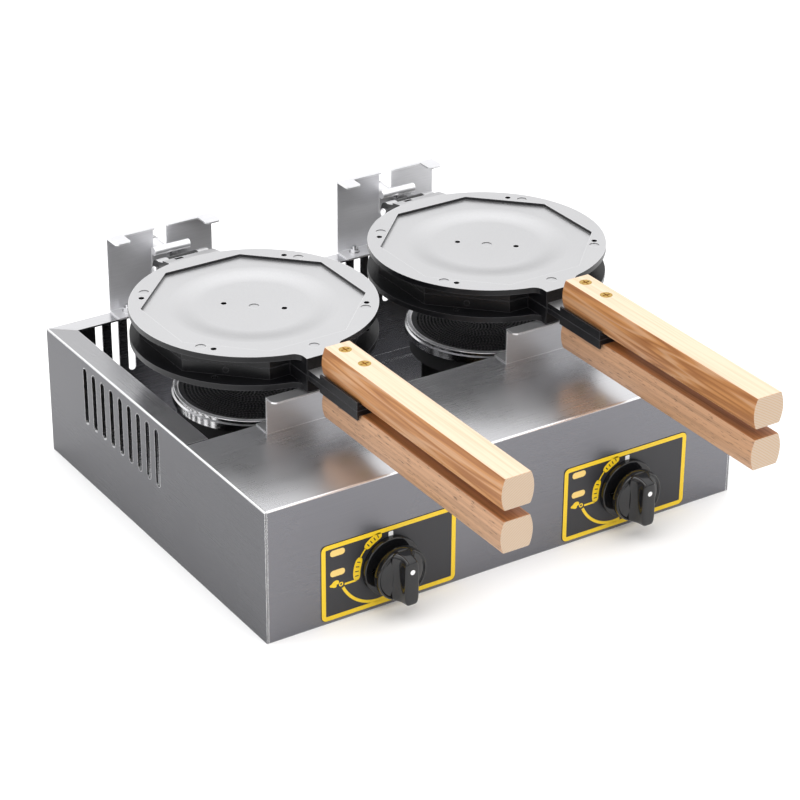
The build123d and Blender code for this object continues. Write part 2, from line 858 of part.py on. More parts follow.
def burner_plate(name, hx):
    """Perforated plate in the ring."""
    with BuildPart() as plate:
        with BuildSketch(level(hx, head_y, burner_top - burner_plate_drop)):
            Circle(burner_ring_in - 0.2)
        extrude(amount=-burner_plate_t)
    save(plate, name)


def burner_bridge(name, hx):
    """Bent strap that carries the burner above the base pan."""
    half = bridge_span / 2
    with BuildPart() as bridge:
        with BuildSketch(profile(hx - bridge_w / 2, head_y, 0)):
            with BuildLine():
                Polyline(
                    (-half - bridge_foot, pan_sheet),
                    (-half + sheet, pan_sheet),
                    (-half + sheet, bridge_z),
                    (half - sheet, bridge_z),
                    (half - sheet, pan_sheet),
                    (half + bridge_foot, pan_sheet),
                    (half + bridge_foot, lip_top),
                    (half, lip_top),
                    (half, bridge_z + sheet),
                    (-half, bridge_z + sheet),
                    (-half, lip_top),
                    (-half - bridge_foot, lip_top),
                    close=True,
                )
            make_face()
        extrude(amount=bridge_w)
        with BuildSketch(level(hx, head_y, bridge_z)):
            Circle(neck_pipe_d / 2 + seam)
        extrude(amount=sheet, mode=Mode.SUBTRACT)
        with BuildSketch(upright(hx, head_y, knob_z)):
            Circle(mixer_d / 2 + 1)
        extrude(amount=bridge_span, mode=Mode.SUBTRACT)
    save(bridge, name)


# ---------------------------------------------------------------- controls
def gas_valve(name, hx):
    """Valve body behind the panel: flange, block, chamber for the spring and bore for the plug."""
    chamber_front = valve_front_y + chamber_y
    with BuildPart() as valve:
        with BuildSketch(upright(hx, valve_front_y + valve_flange_t, knob_z)):
            RectangleRounded(valve_flange_w, valve_flange_h, 5)
        extrude(amount=valve_flange_t)
        with BuildSketch(upright(hx, valve_back_y, knob_z)):
            RectangleRounded(valve_w, valve_w, 3)
        extrude(amount=valve_len - valve_flange_t)
        with BuildSketch(upright(hx, valve_back_y, knob_z)):
            Circle(stem_d / 2 + stem_clear)
        extrude(amount=valve_len, mode=Mode.SUBTRACT)
        with BuildSketch(upright(hx, plug_front_y, knob_z)):
            Circle(chamber_d / 2)
        extrude(amount=plug_front_y - chamber_front, mode=Mode.SUBTRACT)
        with BuildSketch(upright(hx, plug_front_y + plug_len, knob_z)):
            Circle(plug_d / 2)
        extrude(amount=plug_len, mode=Mode.SUBTRACT)
        with BuildSketch(upright(hx, valve_front_y, knob_z)):
            with Locations((-valve_screw_x, 0), (valve_screw_x, 0)):
                Circle(valve_screw_d / 2 + stem_clear)
        extrude(amount=-valve_flange_t, mode=Mode.SUBTRACT)
    save(valve, name)


def valve_plug(name, hx):
    """Turning plug of the valve, with a pocket for the spring and a bore for the stem."""
    front = plug_front_y + 0.2
    back = plug_front_y + plug_len - 0.2
    with BuildPart() as plug:
        with BuildSketch(upright(hx, back, knob_z)):
            Circle(plug_d / 2 - plug_clear)
        extrude(amount=back - front)
        with BuildSketch(upright(hx, front, knob_z)):
            Circle(spring_coil_d / 2 + spring_wire_d)
        extrude(amount=-plug_pocket, mode=Mode.SUBTRACT)
        with BuildSketch(upright(hx, front, knob_z)):
            Circle(stem_d / 2 + plug_clear)
        extrude(amount=-plug_bore_depth, mode=Mode.SUBTRACT)
        with BuildSketch(profile(hx - plug_d, back - 4, knob_z)):
            Circle(1.5)
        extrude(amount=2 * plug_d, mode=Mode.SUBTRACT)
    save(plug, name)


def valve_stem(name, hx):
    """Stem that carries the knob, slides in the plug and has a collar for the spring."""
    stem_front = knob_back_y - knob_bore_depth + 1
    stem_back = plug_front_y + stem_in_plug
    collar_y = valve_front_y + chamber_y + 0.3
    with BuildPart() as stem:
        with BuildSketch(upright(hx, stem_back, knob_z)):
            Circle(stem_d / 2)
        extrude(amount=stem_back - stem_front)
        with BuildSketch(upright(hx, collar_y + 1.5, knob_z)):
            Circle(spring_coil_d / 2 + spring_wire_d / 2)
        extrude(amount=1.5)
    save(stem, name)


def valve_spring(name, hx):
    """Coil spring between the stem's collar and the plug."""
    coil_front = valve_front_y + chamber_y + 2.1 + spring_wire_d / 2
    coil_back = plug_front_y + 0.9 - spring_wire_d / 2
    coil_len = coil_back - coil_front
    with BuildPart() as spring:
        with BuildLine() as coil:
            Helix(
                coil_len / spring_turns,
                coil_len,
                spring_coil_d / 2,
                center=(hx, coil_front, knob_z),
                direction=(0, 1, 0),
            )
        with BuildSketch(Plane(origin=coil.line @ 0, z_dir=coil.line % 0)):
            Circle(spring_wire_d / 2)
        sweep(is_frenet=True)
    save(spring, name)


def gas_jet(name, hx):
    """Jet screwed on the back of the valve, pointing into the mixer tube."""
    with BuildPart() as jet:
        with BuildSketch(upright(hx, valve_back_y + 5, knob_z)):
            RegularPolygon(jet_d / 2 + 3, 6)
        extrude(amount=5)
        with BuildSketch(upright(hx, valve_back_y + jet_len, knob_z)):
            Circle(jet_d / 2)
        extrude(amount=jet_len - 5)
        with BuildSketch(upright(hx, valve_back_y + jet_len, knob_z)):
            Circle(jet_hole_d / 2)
        extrude(amount=jet_len, mode=Mode.SUBTRACT)
    save(jet, name)


def control_label(name, hx):
    """Thin label plate on the front panel."""
    with BuildPart() as label:
        with BuildSketch(upright(hx, front_y, knob_z)):
            RectangleRounded(label_w, label_h, label_corner_r)
            Circle(stem_hole_d / 2, mode=Mode.SUBTRACT)
            with Locations((-valve_screw_x, 0), (valve_screw_x, 0)):
                Circle(valve_screw_d / 2 + stem_clear, mode=Mode.SUBTRACT)
        extrude(amount=label_t)
    save(label, name)


def escutcheon(name, hx):
    """Round plate under the knob, recessed for the valve's screws."""
    with BuildPart() as disc:
        with BuildSketch(upright(hx, label_front_y, knob_z)):
            Circle(escutcheon_d / 2)
        extrude(amount=escutcheon_t)
        fillet(disc.edges().filter_by(GeomType.CIRCLE).group_by(Axis.Y)[0], 1)
        with BuildSketch(upright(hx, label_front_y, knob_z)):
            Circle(stem_hole_d / 2)
            with Locations((-valve_screw_x, 0), (valve_screw_x, 0)):
                Circle(valve_screw_d / 2 + stem_clear)
        extrude(amount=escutcheon_t, mode=Mode.SUBTRACT)
        with BuildSketch(upright(hx, escutcheon_front_y, knob_z)):
            with Locations((-valve_screw_x, 0), (valve_screw_x, 0)):
                Circle(valve_screw_head_d / 2 + screw_pocket_clear)
        extrude(amount=-escutcheon_pocket, mode=Mode.SUBTRACT)
    save(disc, name)


def valve_screws():
    """Screws that hold both valves, with their heads in the escutcheons."""
    head_back_y = escutcheon_front_y + escutcheon_pocket
    head_front_y = head_back_y - valve_screw_head_t
    with BuildPart() as screws:
        for _, hx in HEADS:
            for screw_x in (hx - valve_screw_x, hx + valve_screw_x):
                with BuildSketch(upright(screw_x, head_back_y, knob_z)):
                    Circle(valve_screw_head_d / 2)
                extrude(amount=valve_screw_head_t)
                with BuildSketch(upright(screw_x, valve_front_y + valve_flange_t, knob_z)):
                    Circle(valve_screw_d / 2)
                extrude(amount=valve_front_y + valve_flange_t - head_back_y)
                with BuildSketch(upright(screw_x, head_front_y, knob_z)):
                    Rectangle(valve_screw_head_d, screw_slot_w)
                extrude(amount=-screw_slot_depth, mode=Mode.SUBTRACT)
    save(screws, "valve_screws")


def knob(name, hx):
    """Control knob: round skirt, raised grip bar across it, bore for the stem."""
    skirt_front = knob_back_y - knob_skirt_t
    with BuildPart() as dial:
        with BuildSketch(upright(hx, knob_back_y, knob_z)):
            Circle(knob_d / 2)
        extrude(amount=knob_skirt_t)
        fillet(dial.edges().filter_by(GeomType.CIRCLE).group_by(Axis.Y)[0], 1.5)
        with BuildSketch(upright(hx, skirt_front, knob_z)):
            SlotOverall(knob_grip_len, knob_grip_w, rotation=90)
        extrude(amount=knob_grip_h, taper=3)
        fillet(dial.faces().sort_by(Axis.Y)[0].edges(), 1.5)
        with BuildSketch(upright(hx, knob_back_y, knob_z)):
            Circle(stem_d / 2 + running_clear)
        extrude(amount=knob_bore_depth, mode=Mode.SUBTRACT)
    save(dial, name)


# ---------------------------------------------------------------- gas pipes
def gas_manifold():
    """Pipe that feeds both valves, with a tee under each, and runs along the right side to the back."""
    pipe_end_y = back_y - sheet - inlet_nut_t
    start = (-head_x - valve_w / 2, pipe_y, pipe_z)
    with BuildPart() as pipe:
        with BuildLine() as route:
            FilletPolyline(
                start,
                (pipe_right_x, pipe_y, pipe_z),
                (pipe_right_x, pipe_end_y, pipe_z),
                radius=pipe_bend_r,
            )
        with BuildSketch(Plane(origin=start, x_dir=(0, 1, 0), z_dir=(1, 0, 0))):
            Circle(pipe_d / 2)
        sweep(path=route.line)
        for _, hx in HEADS:
            with BuildSketch(level(hx, pipe_y, pipe_z)):
                Circle(pipe_d / 2 - 1)
            extrude(amount=knob_z - valve_w / 2 - pipe_z)
        with BuildSketch(upright(pipe_right_x, pipe_end_y, pipe_z)):
            Circle(pipe_d / 2 - pipe_wall)
        extrude(amount=pipe_end_y - pipe_y - pipe_bend_r, mode=Mode.SUBTRACT)
    save(pipe, "gas_manifold")


def gas_inlet():
    """Inlet fitting: nuts on both sides of the back panel and a smooth hose tail outside."""
    with BuildPart() as fitting:
        with BuildSketch(upright(pipe_right_x, back_y - sheet, pipe_z)):
            RegularPolygon(inlet_nut_d / 2, 6)
        extrude(amount=inlet_nut_t)
        with BuildSketch(upright(pipe_right_x, back_y, pipe_z)):
            Circle(inlet_thread_d / 2)
        extrude(amount=sheet)
        with BuildSketch(upright(pipe_right_x, back_y + inlet_flange_t, pipe_z)):
            RegularPolygon(inlet_nut_d / 2, 6)
        extrude(amount=inlet_flange_t)
        with BuildSketch(upright(pipe_right_x, back_y + inlet_out, pipe_z)):
            Circle(inlet_d / 2)
        extrude(amount=inlet_out - inlet_flange_t)
        with BuildSketch(upright(pipe_right_x, back_y + inlet_out, pipe_z)):
            Circle(inlet_bore_d / 2)
        extrude(amount=inlet_out + sheet + inlet_nut_t, mode=Mode.SUBTRACT)
    save(fitting, "gas_inlet")


# ---------------------------------------------------------------- the whole machine
side_panel("left_side_panel", -1)
side_panel("right_side_panel", 1)
back_panel()
front_cover()
base_pan()
bracket_bolts()
rest_screws()
valve_screws()
gas_manifold()
gas_inlet()
for side_name, hx in HEADS:
    rear_bracket(f"rear_bracket_{side_name}", hx)
    front_rest(f"front_rest_{side_name}", hx)
    upper_plate(f"upper_plate_{side_name}", hx)
    lower_plate(f"lower_plate_{side_name}", hx)
    hinge_pin(f"hinge_pin_{side_name}", hx)
    spigot_shaft(f"spigot_shaft_{side_name}", hx)
    shaft_collar(f"shaft_collar_{side_name}", hx)
    tilt_saddle(f"tilt_saddle_{side_name}", hx)
    handle(f"upper_handle_{side_name}", hx, 1)
    handle(f"lower_handle_{side_name}", hx, -1)
    handle_screws(f"upper_handle_screws_{side_name}", hx, 1)
    handle_screws(f"lower_handle_screws_{side_name}", hx, -1)
    burner_body(f"burner_body_{side_name}", hx)
    burner_ring(f"burner_ring_{side_name}", hx)
    burner_plate(f"burner_plate_{side_name}", hx)
    burner_bridge(f"burner_bridge_{side_name}", hx)
    gas_valve(f"gas_valve_{side_name}", hx)
    valve_plug(f"valve_plug_{side_name}", hx)
    valve_stem(f"valve_stem_{side_name}", hx)
    valve_spring(f"valve_spring_{side_name}", hx)
    gas_jet(f"gas_jet_{side_name}", hx)
    control_label(f"control_label_{side_name}", hx)
    escutcheon(f"escutcheon_{side_name}", hx)
    knob(f"knob_{side_name}", hx)
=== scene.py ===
"""Looks of a two-head gas waffle cone baker, laid out as a Blender add-on and run as a script."""

import bmesh
import bpy
import numpy as np
from bpy.props import FloatProperty, FloatVectorProperty, IntProperty, PointerProperty
from mathutils import Matrix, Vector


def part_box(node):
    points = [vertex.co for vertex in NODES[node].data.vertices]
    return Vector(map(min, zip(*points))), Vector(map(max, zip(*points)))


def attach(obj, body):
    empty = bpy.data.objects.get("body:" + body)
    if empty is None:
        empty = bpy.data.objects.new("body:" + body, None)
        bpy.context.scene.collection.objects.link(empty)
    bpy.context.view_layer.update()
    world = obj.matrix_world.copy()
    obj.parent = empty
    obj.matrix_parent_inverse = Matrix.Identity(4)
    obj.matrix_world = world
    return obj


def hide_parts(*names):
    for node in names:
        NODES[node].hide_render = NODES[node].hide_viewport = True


bl_info = {
    "name": "Waffle Cone Baker",
    "version": (1, 0, 0),
    "blender": (4, 5, 0),
    "location": "View3D > Sidebar > Cone Baker",
    "description": "Finishes, label marks, burner plates and baking faces of a two-head cone baker",
    "category": "Object",
}

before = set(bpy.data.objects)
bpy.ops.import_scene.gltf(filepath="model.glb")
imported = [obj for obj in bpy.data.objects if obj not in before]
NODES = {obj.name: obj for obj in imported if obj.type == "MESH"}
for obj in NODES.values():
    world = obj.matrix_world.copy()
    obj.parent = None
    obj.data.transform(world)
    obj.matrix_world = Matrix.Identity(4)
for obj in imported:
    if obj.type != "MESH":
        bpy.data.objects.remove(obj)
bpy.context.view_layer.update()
SIDES = ("left", "right")
MM = 0.001
TURN = 2 * np.pi
HANDLE_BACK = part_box("upper_handle_left")[1].y
PARTING = {
    side: (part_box(f"upper_plate_{side}")[1].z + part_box(f"lower_plate_{side}")[0].z) / 2 for side in SIDES
}


# ---------------------------------------------------------------- properties
class StageSettings(bpy.types.PropertyGroup):
    """Camera, floor and lights."""

    azimuth: FloatProperty(
        name="Azimuth", description="Turn of the camera about the object, from the front towards the left",
        default=np.radians(-32.833), subtype="ANGLE",
    )
    elevation: FloatProperty(
        name="Elevation", description="Height of the camera above the horizon",
        default=np.radians(27.715), subtype="ANGLE",
    )
    roll: FloatProperty(
        name="Roll", description="Turn of the camera about its own view",
        default=np.radians(0.349), subtype="ANGLE",
    )
    place: FloatVectorProperty(
        name="Place", description="Where the camera stands",
        default=(-1.1174, -1.7535, 1.1614), subtype="TRANSLATION",
    )
    lens: FloatProperty(
        name="Lens", description="Focal length in millimetres",
        default=121.145, min=10,
    )
    floor_colour: FloatVectorProperty(
        name="Floor", description="Colour of the floor",
        default=(0.96, 0.96, 0.96), subtype="COLOR",
    )
    horizon: FloatProperty(
        name="Horizon", description="Brightness of the dome at its foot",
        default=0.50, min=0,
    )
    zenith: FloatProperty(
        name="Zenith", description="Brightness of the dome at its top",
        default=1.75, min=0,
    )
    key_power: FloatProperty(
        name="Key", description="Power of the overhead light in watts",
        default=16, min=0,
    )
    side_power: FloatProperty(
        name="Side", description="Power of the left light in watts",
        default=5, min=0,
    )
    front_power: FloatProperty(
        name="Front", description="Power of the front light in watts",
        default=3, min=0,
    )


class MetalSettings(bpy.types.PropertyGroup):
    """Sheet steel, bare castings and small metal parts."""

    steel: FloatVectorProperty(
        name="Steel", description="Colour of the brushed sheet",
        default=(0.185, 0.185, 0.20), subtype="COLOR",
    )
    casting: FloatVectorProperty(
        name="Casting", description="Colour of the bare cast faces",
        default=(0.62, 0.62, 0.63), subtype="COLOR",
    )
    coating: FloatVectorProperty(
        name="Coating", description="Colour of the coated sides",
        default=(0.005, 0.005, 0.006), subtype="COLOR",
    )
    # Painted light: the same steel as the front, given this much lighter colour where it faces up, as if lit
    # by the bright sky.
    deck_painted_light: FloatVectorProperty(
        name="Deck, painted light", description="Colour of the sheet where it lies flat",
        default=(0.74, 0.74, 0.76), subtype="COLOR",
    )
    bent: FloatVectorProperty(
        name="Brackets", description="Colour of the bent brackets and rests",
        default=(0.74, 0.74, 0.76), subtype="COLOR",
    )
    # Painted highlight: near-white colour laid on the sheet edges and bends in place of the highlights they
    # catch.
    painted_edge_highlight: FloatVectorProperty(
        name="Painted edge highlight", description="Colour of the bright sheet edges",
        default=(0.97, 0.97, 0.98), subtype="COLOR",
    )
    brass: FloatVectorProperty(
        name="Brass", description="Colour of the brass parts",
        default=(0.62, 0.40, 0.10), subtype="COLOR",
    )


class WoodSettings(bpy.types.PropertyGroup):
    """Colours of the wooden bars."""

    pale: FloatVectorProperty(
        name="Pale", description="Pale wood between the streaks",
        default=(0.72, 0.56, 0.41), subtype="COLOR",
    )
    side: FloatVectorProperty(
        name="Side", description="Ground colour of the upper bars' sides",
        default=(0.47, 0.215, 0.072), subtype="COLOR",
    )
    streak: FloatVectorProperty(
        name="Streak", description="Orange-brown streaks",
        default=(0.22, 0.072, 0.018), subtype="COLOR",
    )
    inner: FloatVectorProperty(
        name="Inner face", description="Reddish inner face of the lower bars",
        default=(0.36, 0.14, 0.045), subtype="COLOR",
    )
    tan: FloatVectorProperty(
        name="Tan", description="Ground colour of the lower bars",
        default=(0.43, 0.245, 0.138), subtype="COLOR",
    )


class BurnerSettings(bpy.types.PropertyGroup):
    """Holes of the burner plates."""

    row_pitch: FloatProperty(
        name="Row pitch", description="Distance between rows of holes",
        default=3.0 * MM, subtype="DISTANCE",
    )
    hole_depth: FloatProperty(
        name="Hole depth", description="Depth of the pressed holes",
        default=0.9 * MM, subtype="DISTANCE",
    )
    rings: IntProperty(
        name="Rings", description="Grid steps along the radius",
        default=150, min=20,
    )
    spokes: IntProperty(
        name="Spokes", description="Grid steps round the plate",
        default=420, min=60,
    )


class BakingSettings(bpy.types.PropertyGroup):
    """Diamond pattern of the baking faces."""

    radius: FloatProperty(
        name="Radius", description="Radius of the pattern",
        default=85 * MM, subtype="DISTANCE",
    )
    pitch: FloatProperty(
        name="Pitch", description="Distance between the ridges",
        default=9.5 * MM, subtype="DISTANCE",
    )
    height: FloatProperty(
        name="Height", description="Height of the ridges",
        default=0.9 * MM, subtype="DISTANCE",
    )
    steps: IntProperty(
        name="Steps", description="Grid steps across the face",
        default=200, min=20,
    )


class LabelSettings(bpy.types.PropertyGroup):
    """Marks on the label plates."""

    yellow: FloatVectorProperty(
        name="Yellow", description="Colour of the border and the bands",
        default=(0.86, 0.58, 0.012), subtype="COLOR",
    )
    pale_yellow: FloatVectorProperty(
        name="Pale yellow", description="Colour of the two pills",
        default=(0.88, 0.62, 0.19), subtype="COLOR",
    )
    border: FloatProperty(
        name="Border", description="Width of the border",
        default=3.9 * MM, subtype="DISTANCE",
    )
    dial_radius: FloatProperty(
        name="Dial radius", description="Radius of the bands round the knob",
        default=31 * MM, subtype="DISTANCE",
    )


SETTINGS = {
    "cone_stage": StageSettings,
    "cone_metal": MetalSettings,
    "cone_wood": WoodSettings,
    "cone_burner": BurnerSettings,
    "cone_baking": BakingSettings,
    "cone_label": LabelSettings,
}


# ---------------------------------------------------------------- mesh helpers
def mesh_piece(name, points, faces, body, material, smooth=True):
    """Object from vertex and face arrays, its normals turned outwards, riding on a body."""
    data = bpy.data.meshes.new(name)
    data.from_pydata(np.asarray(points).tolist(), [], [list(map(int, f)) for f in faces])
    work = bmesh.new()
    work.from_mesh(data)
    bmesh.ops.remove_doubles(work, verts=work.verts, dist=1e-7)
    bmesh.ops.recalc_face_normals(work, faces=work.faces)
    work.to_mesh(data)
    work.free()
    data.polygons.foreach_set("use_smooth", np.full(len(data.polygons), smooth))
    data.materials.append(material)
    piece = bpy.data.objects.new(name, data)
    bpy.context.scene.collection.objects.link(piece)
    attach(piece, body)
    return piece


def quads(rows, columns, close_rows=False, close_columns=False):
    """Quad indices of a grid of rows by columns points, joined round where asked."""
    index = np.arange(rows * columns).reshape(rows, columns)
    if close_rows:
        index = np.vstack([index, index[:1]])
    if close_columns:
        index = np.hstack([index, index[:, :1]])
    corners = (index[:-1, :-1], index[1:, :-1], index[1:, 1:], index[:-1, 1:])
    return np.stack([c.ravel() for c in corners], axis=1)


def loft(rings, closed=False):
    """Points and faces of a skin over rings (n, m, 3): each ring is a closed loop, the ends are capped."""
    count, size = rings.shape[:2]
    faces = quads(count, size, close_rows=closed, close_columns=True).tolist()
    if not closed:
        faces.append(list(range(size)))
        faces.append(list(range((count - 1) * size, count * size)))
    return rings.reshape(-1, 3), faces


def stack(*columns):
    """Array of points from broadcast coordinate arrays."""
    return np.stack(np.broadcast_arrays(*columns), axis=-1)


def smoothstep(low, high, value):
    """Zero below low, one above high, and the cubic 3t^2 - 2t^3 between."""
    t = np.clip((value - low) / (high - low), 0, 1)
    return t * t * (3 - 2 * t)


# ---------------------------------------------------------------- shader groups
CLOUD_SCALE = 9  # clouds per metre, about
EDGE_ROUNDING = 1.1 * MM  # radius that the edge mask rounds the normal with
BEND_RANGE = (0.93, 0.985)  # largest share of the normal along one axis: a bend below, a flat face above
PORE_SCALES = (900, 90, 900)
FIBRE_SCALES = (420, 5, 420)
END_RING_RATE = 3200  # radians of the ring wave per metre from the part's Y axis
END_RING_WARP = 7


def new_group(name, inputs, outputs):
    """Empty shader node group with float inputs and float outputs."""
    tree = bpy.data.node_groups.new(name, "ShaderNodeTree")
    for label, default in inputs:
        socket = tree.interface.new_socket(name=label, in_out="INPUT", socket_type="NodeSocketFloat")
        socket.default_value = default
    for label in outputs:
        tree.interface.new_socket(name=label, in_out="OUTPUT", socket_type="NodeSocketFloat")
    return tree, tree.nodes.new("NodeGroupInput"), tree.nodes.new("NodeGroupOutput")


def scaled_noise(tree, vector, detail, roughness=0.6):
    """Noise texture node that reads a vector already brought to scale."""
    noise = tree.nodes.new("ShaderNodeTexNoise")
    noise.inputs["Scale"].default_value = 1
    noise.inputs["Detail"].default_value = detail
    noise.inputs["Roughness"].default_value = roughness
    tree.links.new(vector, noise.inputs["Vector"])
    return noise.outputs["Fac"]


def maths(tree, operation, first, second=0):
    """Math node on one or two values, each a socket or a number."""
    node = tree.nodes.new("ShaderNodeMath")
    node.operation = operation
    for socket, value in zip(node.inputs, (first, second)):
        if hasattr(value, "links"):
            tree.links.new(value, socket)
        else:
            socket.default_value = value
    return node.outputs["Value"]


def map_range(tree, value, low, high, out_low, out_high):
    """Map Range node, clamped."""
    node = tree.nodes.new("ShaderNodeMapRange")
    tree.links.new(value, node.inputs["Value"])
    labels = ("From Min", "From Max", "To Min", "To Max")
    for label, number in zip(labels, (low, high, out_low, out_high)):
        node.inputs[label].default_value = number
    return node.outputs["Result"]


def coordinates(tree, kind):
    """Texture coordinate of one kind."""
    return tree.nodes.new("ShaderNodeTexCoord").outputs[kind]


def split_axes(tree, vector):
    """The X, Y and Z outputs of a vector."""
    node = tree.nodes.new("ShaderNodeSeparateXYZ")
    tree.links.new(vector, node.inputs["Vector"])
    return node.outputs


def multiply_vectors(tree, first, second):
    """Product of a vector socket with a second one, or with three numbers."""
    node = tree.nodes.new("ShaderNodeVectorMath")
    node.operation = "MULTIPLY"
    tree.links.new(first, node.inputs[0])
    if hasattr(second, "links"):
        tree.links.new(second, node.inputs[1])
    else:
        node.inputs[1].default_value = second
    return node.outputs["Vector"]


def stretched_coordinates(tree, group_in):
    """Object coordinates times the group's three scales."""
    scale = tree.nodes.new("ShaderNodeCombineXYZ")
    for axis in "XYZ":
        tree.links.new(group_in.outputs["Scale " + axis], scale.inputs[axis])
    return multiply_vectors(tree, coordinates(tree, "Object"), scale.outputs["Vector"])


def build_grain_group():
    """Long grain, as of brushing: noise with its own scale on each axis, and wide clouds."""
    inputs = [("Scale X", 100.0), ("Scale Y", 100.0), ("Scale Z", 100.0)]
    tree, group_in, group_out = new_group("Long Grain", inputs, ["Grain", "Cloud"])
    vector = stretched_coordinates(tree, group_in)
    tree.links.new(scaled_noise(tree, vector, 5, 0.65), group_out.inputs["Grain"])
    cloud = tree.nodes.new("ShaderNodeTexNoise")
    cloud.inputs["Scale"].default_value = CLOUD_SCALE
    cloud.inputs["Detail"].default_value = 3
    tree.links.new(coordinates(tree, "Object"), cloud.inputs["Vector"])
    tree.links.new(cloud.outputs["Fac"], group_out.inputs["Cloud"])


def build_facing_group():
    """Masks from the normal in the piece's own space.

    Mask: faces that look up (Way 1) or down (Way -1) and lie behind From Y. End: faces across Y.
    """
    inputs = [("Way", 1.0), ("Edge", 0.8), ("From Y", -9.0)]
    tree, group_in, group_out = new_group("Facing", inputs, ["Mask", "End"])
    normal = split_axes(tree, coordinates(tree, "Normal"))
    turned = maths(tree, "MULTIPLY", normal["Z"], group_in.outputs["Way"])
    flat = maths(tree, "GREATER_THAN", turned, group_in.outputs["Edge"])
    place = split_axes(tree, coordinates(tree, "Object"))
    behind = maths(tree, "GREATER_THAN", place["Y"], group_in.outputs["From Y"])
    tree.links.new(maths(tree, "MULTIPLY", flat, behind), group_out.inputs["Mask"])
    across = maths(tree, "GREATER_THAN", maths(tree, "ABSOLUTE", normal["Y"]), 0.7)
    tree.links.new(across, group_out.inputs["End"])


def build_wood_group():
    """Wood, its grain along Y.

    Rings: a sine of stretched noise, which gives long streaks. Arcs: a sine of the distance from the part's
    Y axis, bent by the same noise, for the end grain. Pores and Fibre: finer noises stretched along the bar.
    """
    inputs = [("Scale X", 20.0), ("Scale Y", 2.0), ("Scale Z", 20.0), ("Ring density", 9.0)]
    tree, group_in, group_out = new_group("Wood Rings", inputs, ["Rings", "Pores", "Fibre", "Arcs"])
    warp = scaled_noise(tree, stretched_coordinates(tree, group_in), 3, 0.5)
    turns = maths(tree, "MULTIPLY", group_in.outputs["Ring density"], TURN)
    rings = maths(tree, "SINE", maths(tree, "MULTIPLY", warp, turns))
    tree.links.new(map_range(tree, rings, -1, 1, 0, 1), group_out.inputs["Rings"])
    place = split_axes(tree, coordinates(tree, "Object"))
    squares = [maths(tree, "MULTIPLY", place[axis], place[axis]) for axis in "XZ"]
    radius = maths(tree, "SQRT", maths(tree, "ADD", *squares))
    bent = maths(tree, "MULTIPLY", warp, END_RING_WARP)
    wave = maths(tree, "ADD", maths(tree, "MULTIPLY", radius, END_RING_RATE), bent)
    arcs = maths(tree, "SINE", wave)
    tree.links.new(map_range(tree, arcs, 0.2, 1, 0, 1), group_out.inputs["Arcs"])
    for label, scales, detail in (("Pores", PORE_SCALES, 2), ("Fibre", FIBRE_SCALES, 6)):
        vector = multiply_vectors(tree, coordinates(tree, "Object"), scales)
        tree.links.new(scaled_noise(tree, vector, detail), group_out.inputs[label])


def build_edge_group():
    """Mask of edges for painted highlights: where a slightly rounded normal leaves the true one, and bends
    between flat faces.
    """
    inputs = [("Low", 0.02), ("High", 0.22), ("Bends", 1.0)]
    tree, group_in, group_out = new_group("Edge Wear", inputs, ["Mask"])
    rounded = tree.nodes.new("ShaderNodeBevel")
    rounded.samples = 4
    rounded.inputs["Radius"].default_value = EDGE_ROUNDING
    product = tree.nodes.new("ShaderNodeVectorMath")
    product.operation = "DOT_PRODUCT"
    tree.links.new(rounded.outputs["Normal"], product.inputs[0])
    tree.links.new(tree.nodes.new("ShaderNodeNewGeometry").outputs["Normal"], product.inputs[1])
    sharp = tree.nodes.new("ShaderNodeMapRange")
    tree.links.new(maths(tree, "SUBTRACT", 1.0, product.outputs["Value"]), sharp.inputs["Value"])
    tree.links.new(group_in.outputs["Low"], sharp.inputs["From Min"])
    tree.links.new(group_in.outputs["High"], sharp.inputs["From Max"])
    normal = split_axes(tree, coordinates(tree, "Normal"))
    x, y, z = (maths(tree, "ABSOLUTE", normal[axis]) for axis in "XYZ")
    largest = maths(tree, "MAXIMUM", maths(tree, "MAXIMUM", x, y), z)
    bend = maths(tree, "MULTIPLY", map_range(tree, largest, *BEND_RANGE, 1, 0), group_in.outputs["Bends"])
    tree.links.new(maths(tree, "MAXIMUM", sharp.outputs["Result"], bend), group_out.inputs["Mask"])


# ---------------------------------------------------------------- materials
SIDE_PAINTED_SHADE = 0.55  # painted shade: the side panels' sheet darker than the front's by this share
RIM_PAINTED_LIGHT = 0.6  # painted light on the side panels' folded rims, as a share of the deck's painted light
REST_SHADE = 0.58  # the front rests against the brackets
# Painted highlight: grey laid on the edges of the black coated sides.
COATING_PAINTED_HIGHLIGHT = (0.16, 0.16, 0.17)
COATING_SPECULAR = 0.32
BARE_METALLIC = 0.95


def new_material(name, metallic, roughness):
    """Material with its Principled shader, and the two plain values on the shader's sockets."""
    material = bpy.data.materials.new(name)
    material.use_nodes = True
    shader = material.node_tree.nodes["Principled BSDF"]
    shader.inputs["Metallic"].default_value = metallic
    shader.inputs["Roughness"].default_value = roughness
    return material, material.node_tree, shader


def place_group(tree, group, **values):
    """Instance of a shader group with its inputs set; underscores in the names stand for spaces."""
    node = tree.nodes.new("ShaderNodeGroup")
    node.node_tree = bpy.data.node_groups[group]
    for label, value in values.items():
        node.inputs[label.replace("_", " ")].default_value = value
    return node


def mix_colours(tree, factor, first, second):
    """Mix node on two colours, each a socket or a colour."""
    node = tree.nodes.new("ShaderNodeMix")
    node.data_type = "RGBA"
    tree.links.new(factor, node.inputs["Factor"])
    for socket, value in zip((node.inputs[6], node.inputs[7]), (first, second)):
        if hasattr(value, "links"):
            tree.links.new(value, socket)
        else:
            socket.default_value = (*value, 1)
    return node.outputs[2]


def add_bump(tree, shader, height, strength, distance):
    """Bump node from a height value to the shader's normal."""
    bump = tree.nodes.new("ShaderNodeBump")
    bump.inputs["Strength"].default_value = strength
    bump.inputs["Distance"].default_value = distance
    tree.links.new(height, bump.inputs["Height"])
    tree.links.new(bump.outputs["Normal"], shader.inputs["Normal"])


def tinted(colour, factor):
    """A colour times a factor."""
    return tuple(c * factor for c in colour)


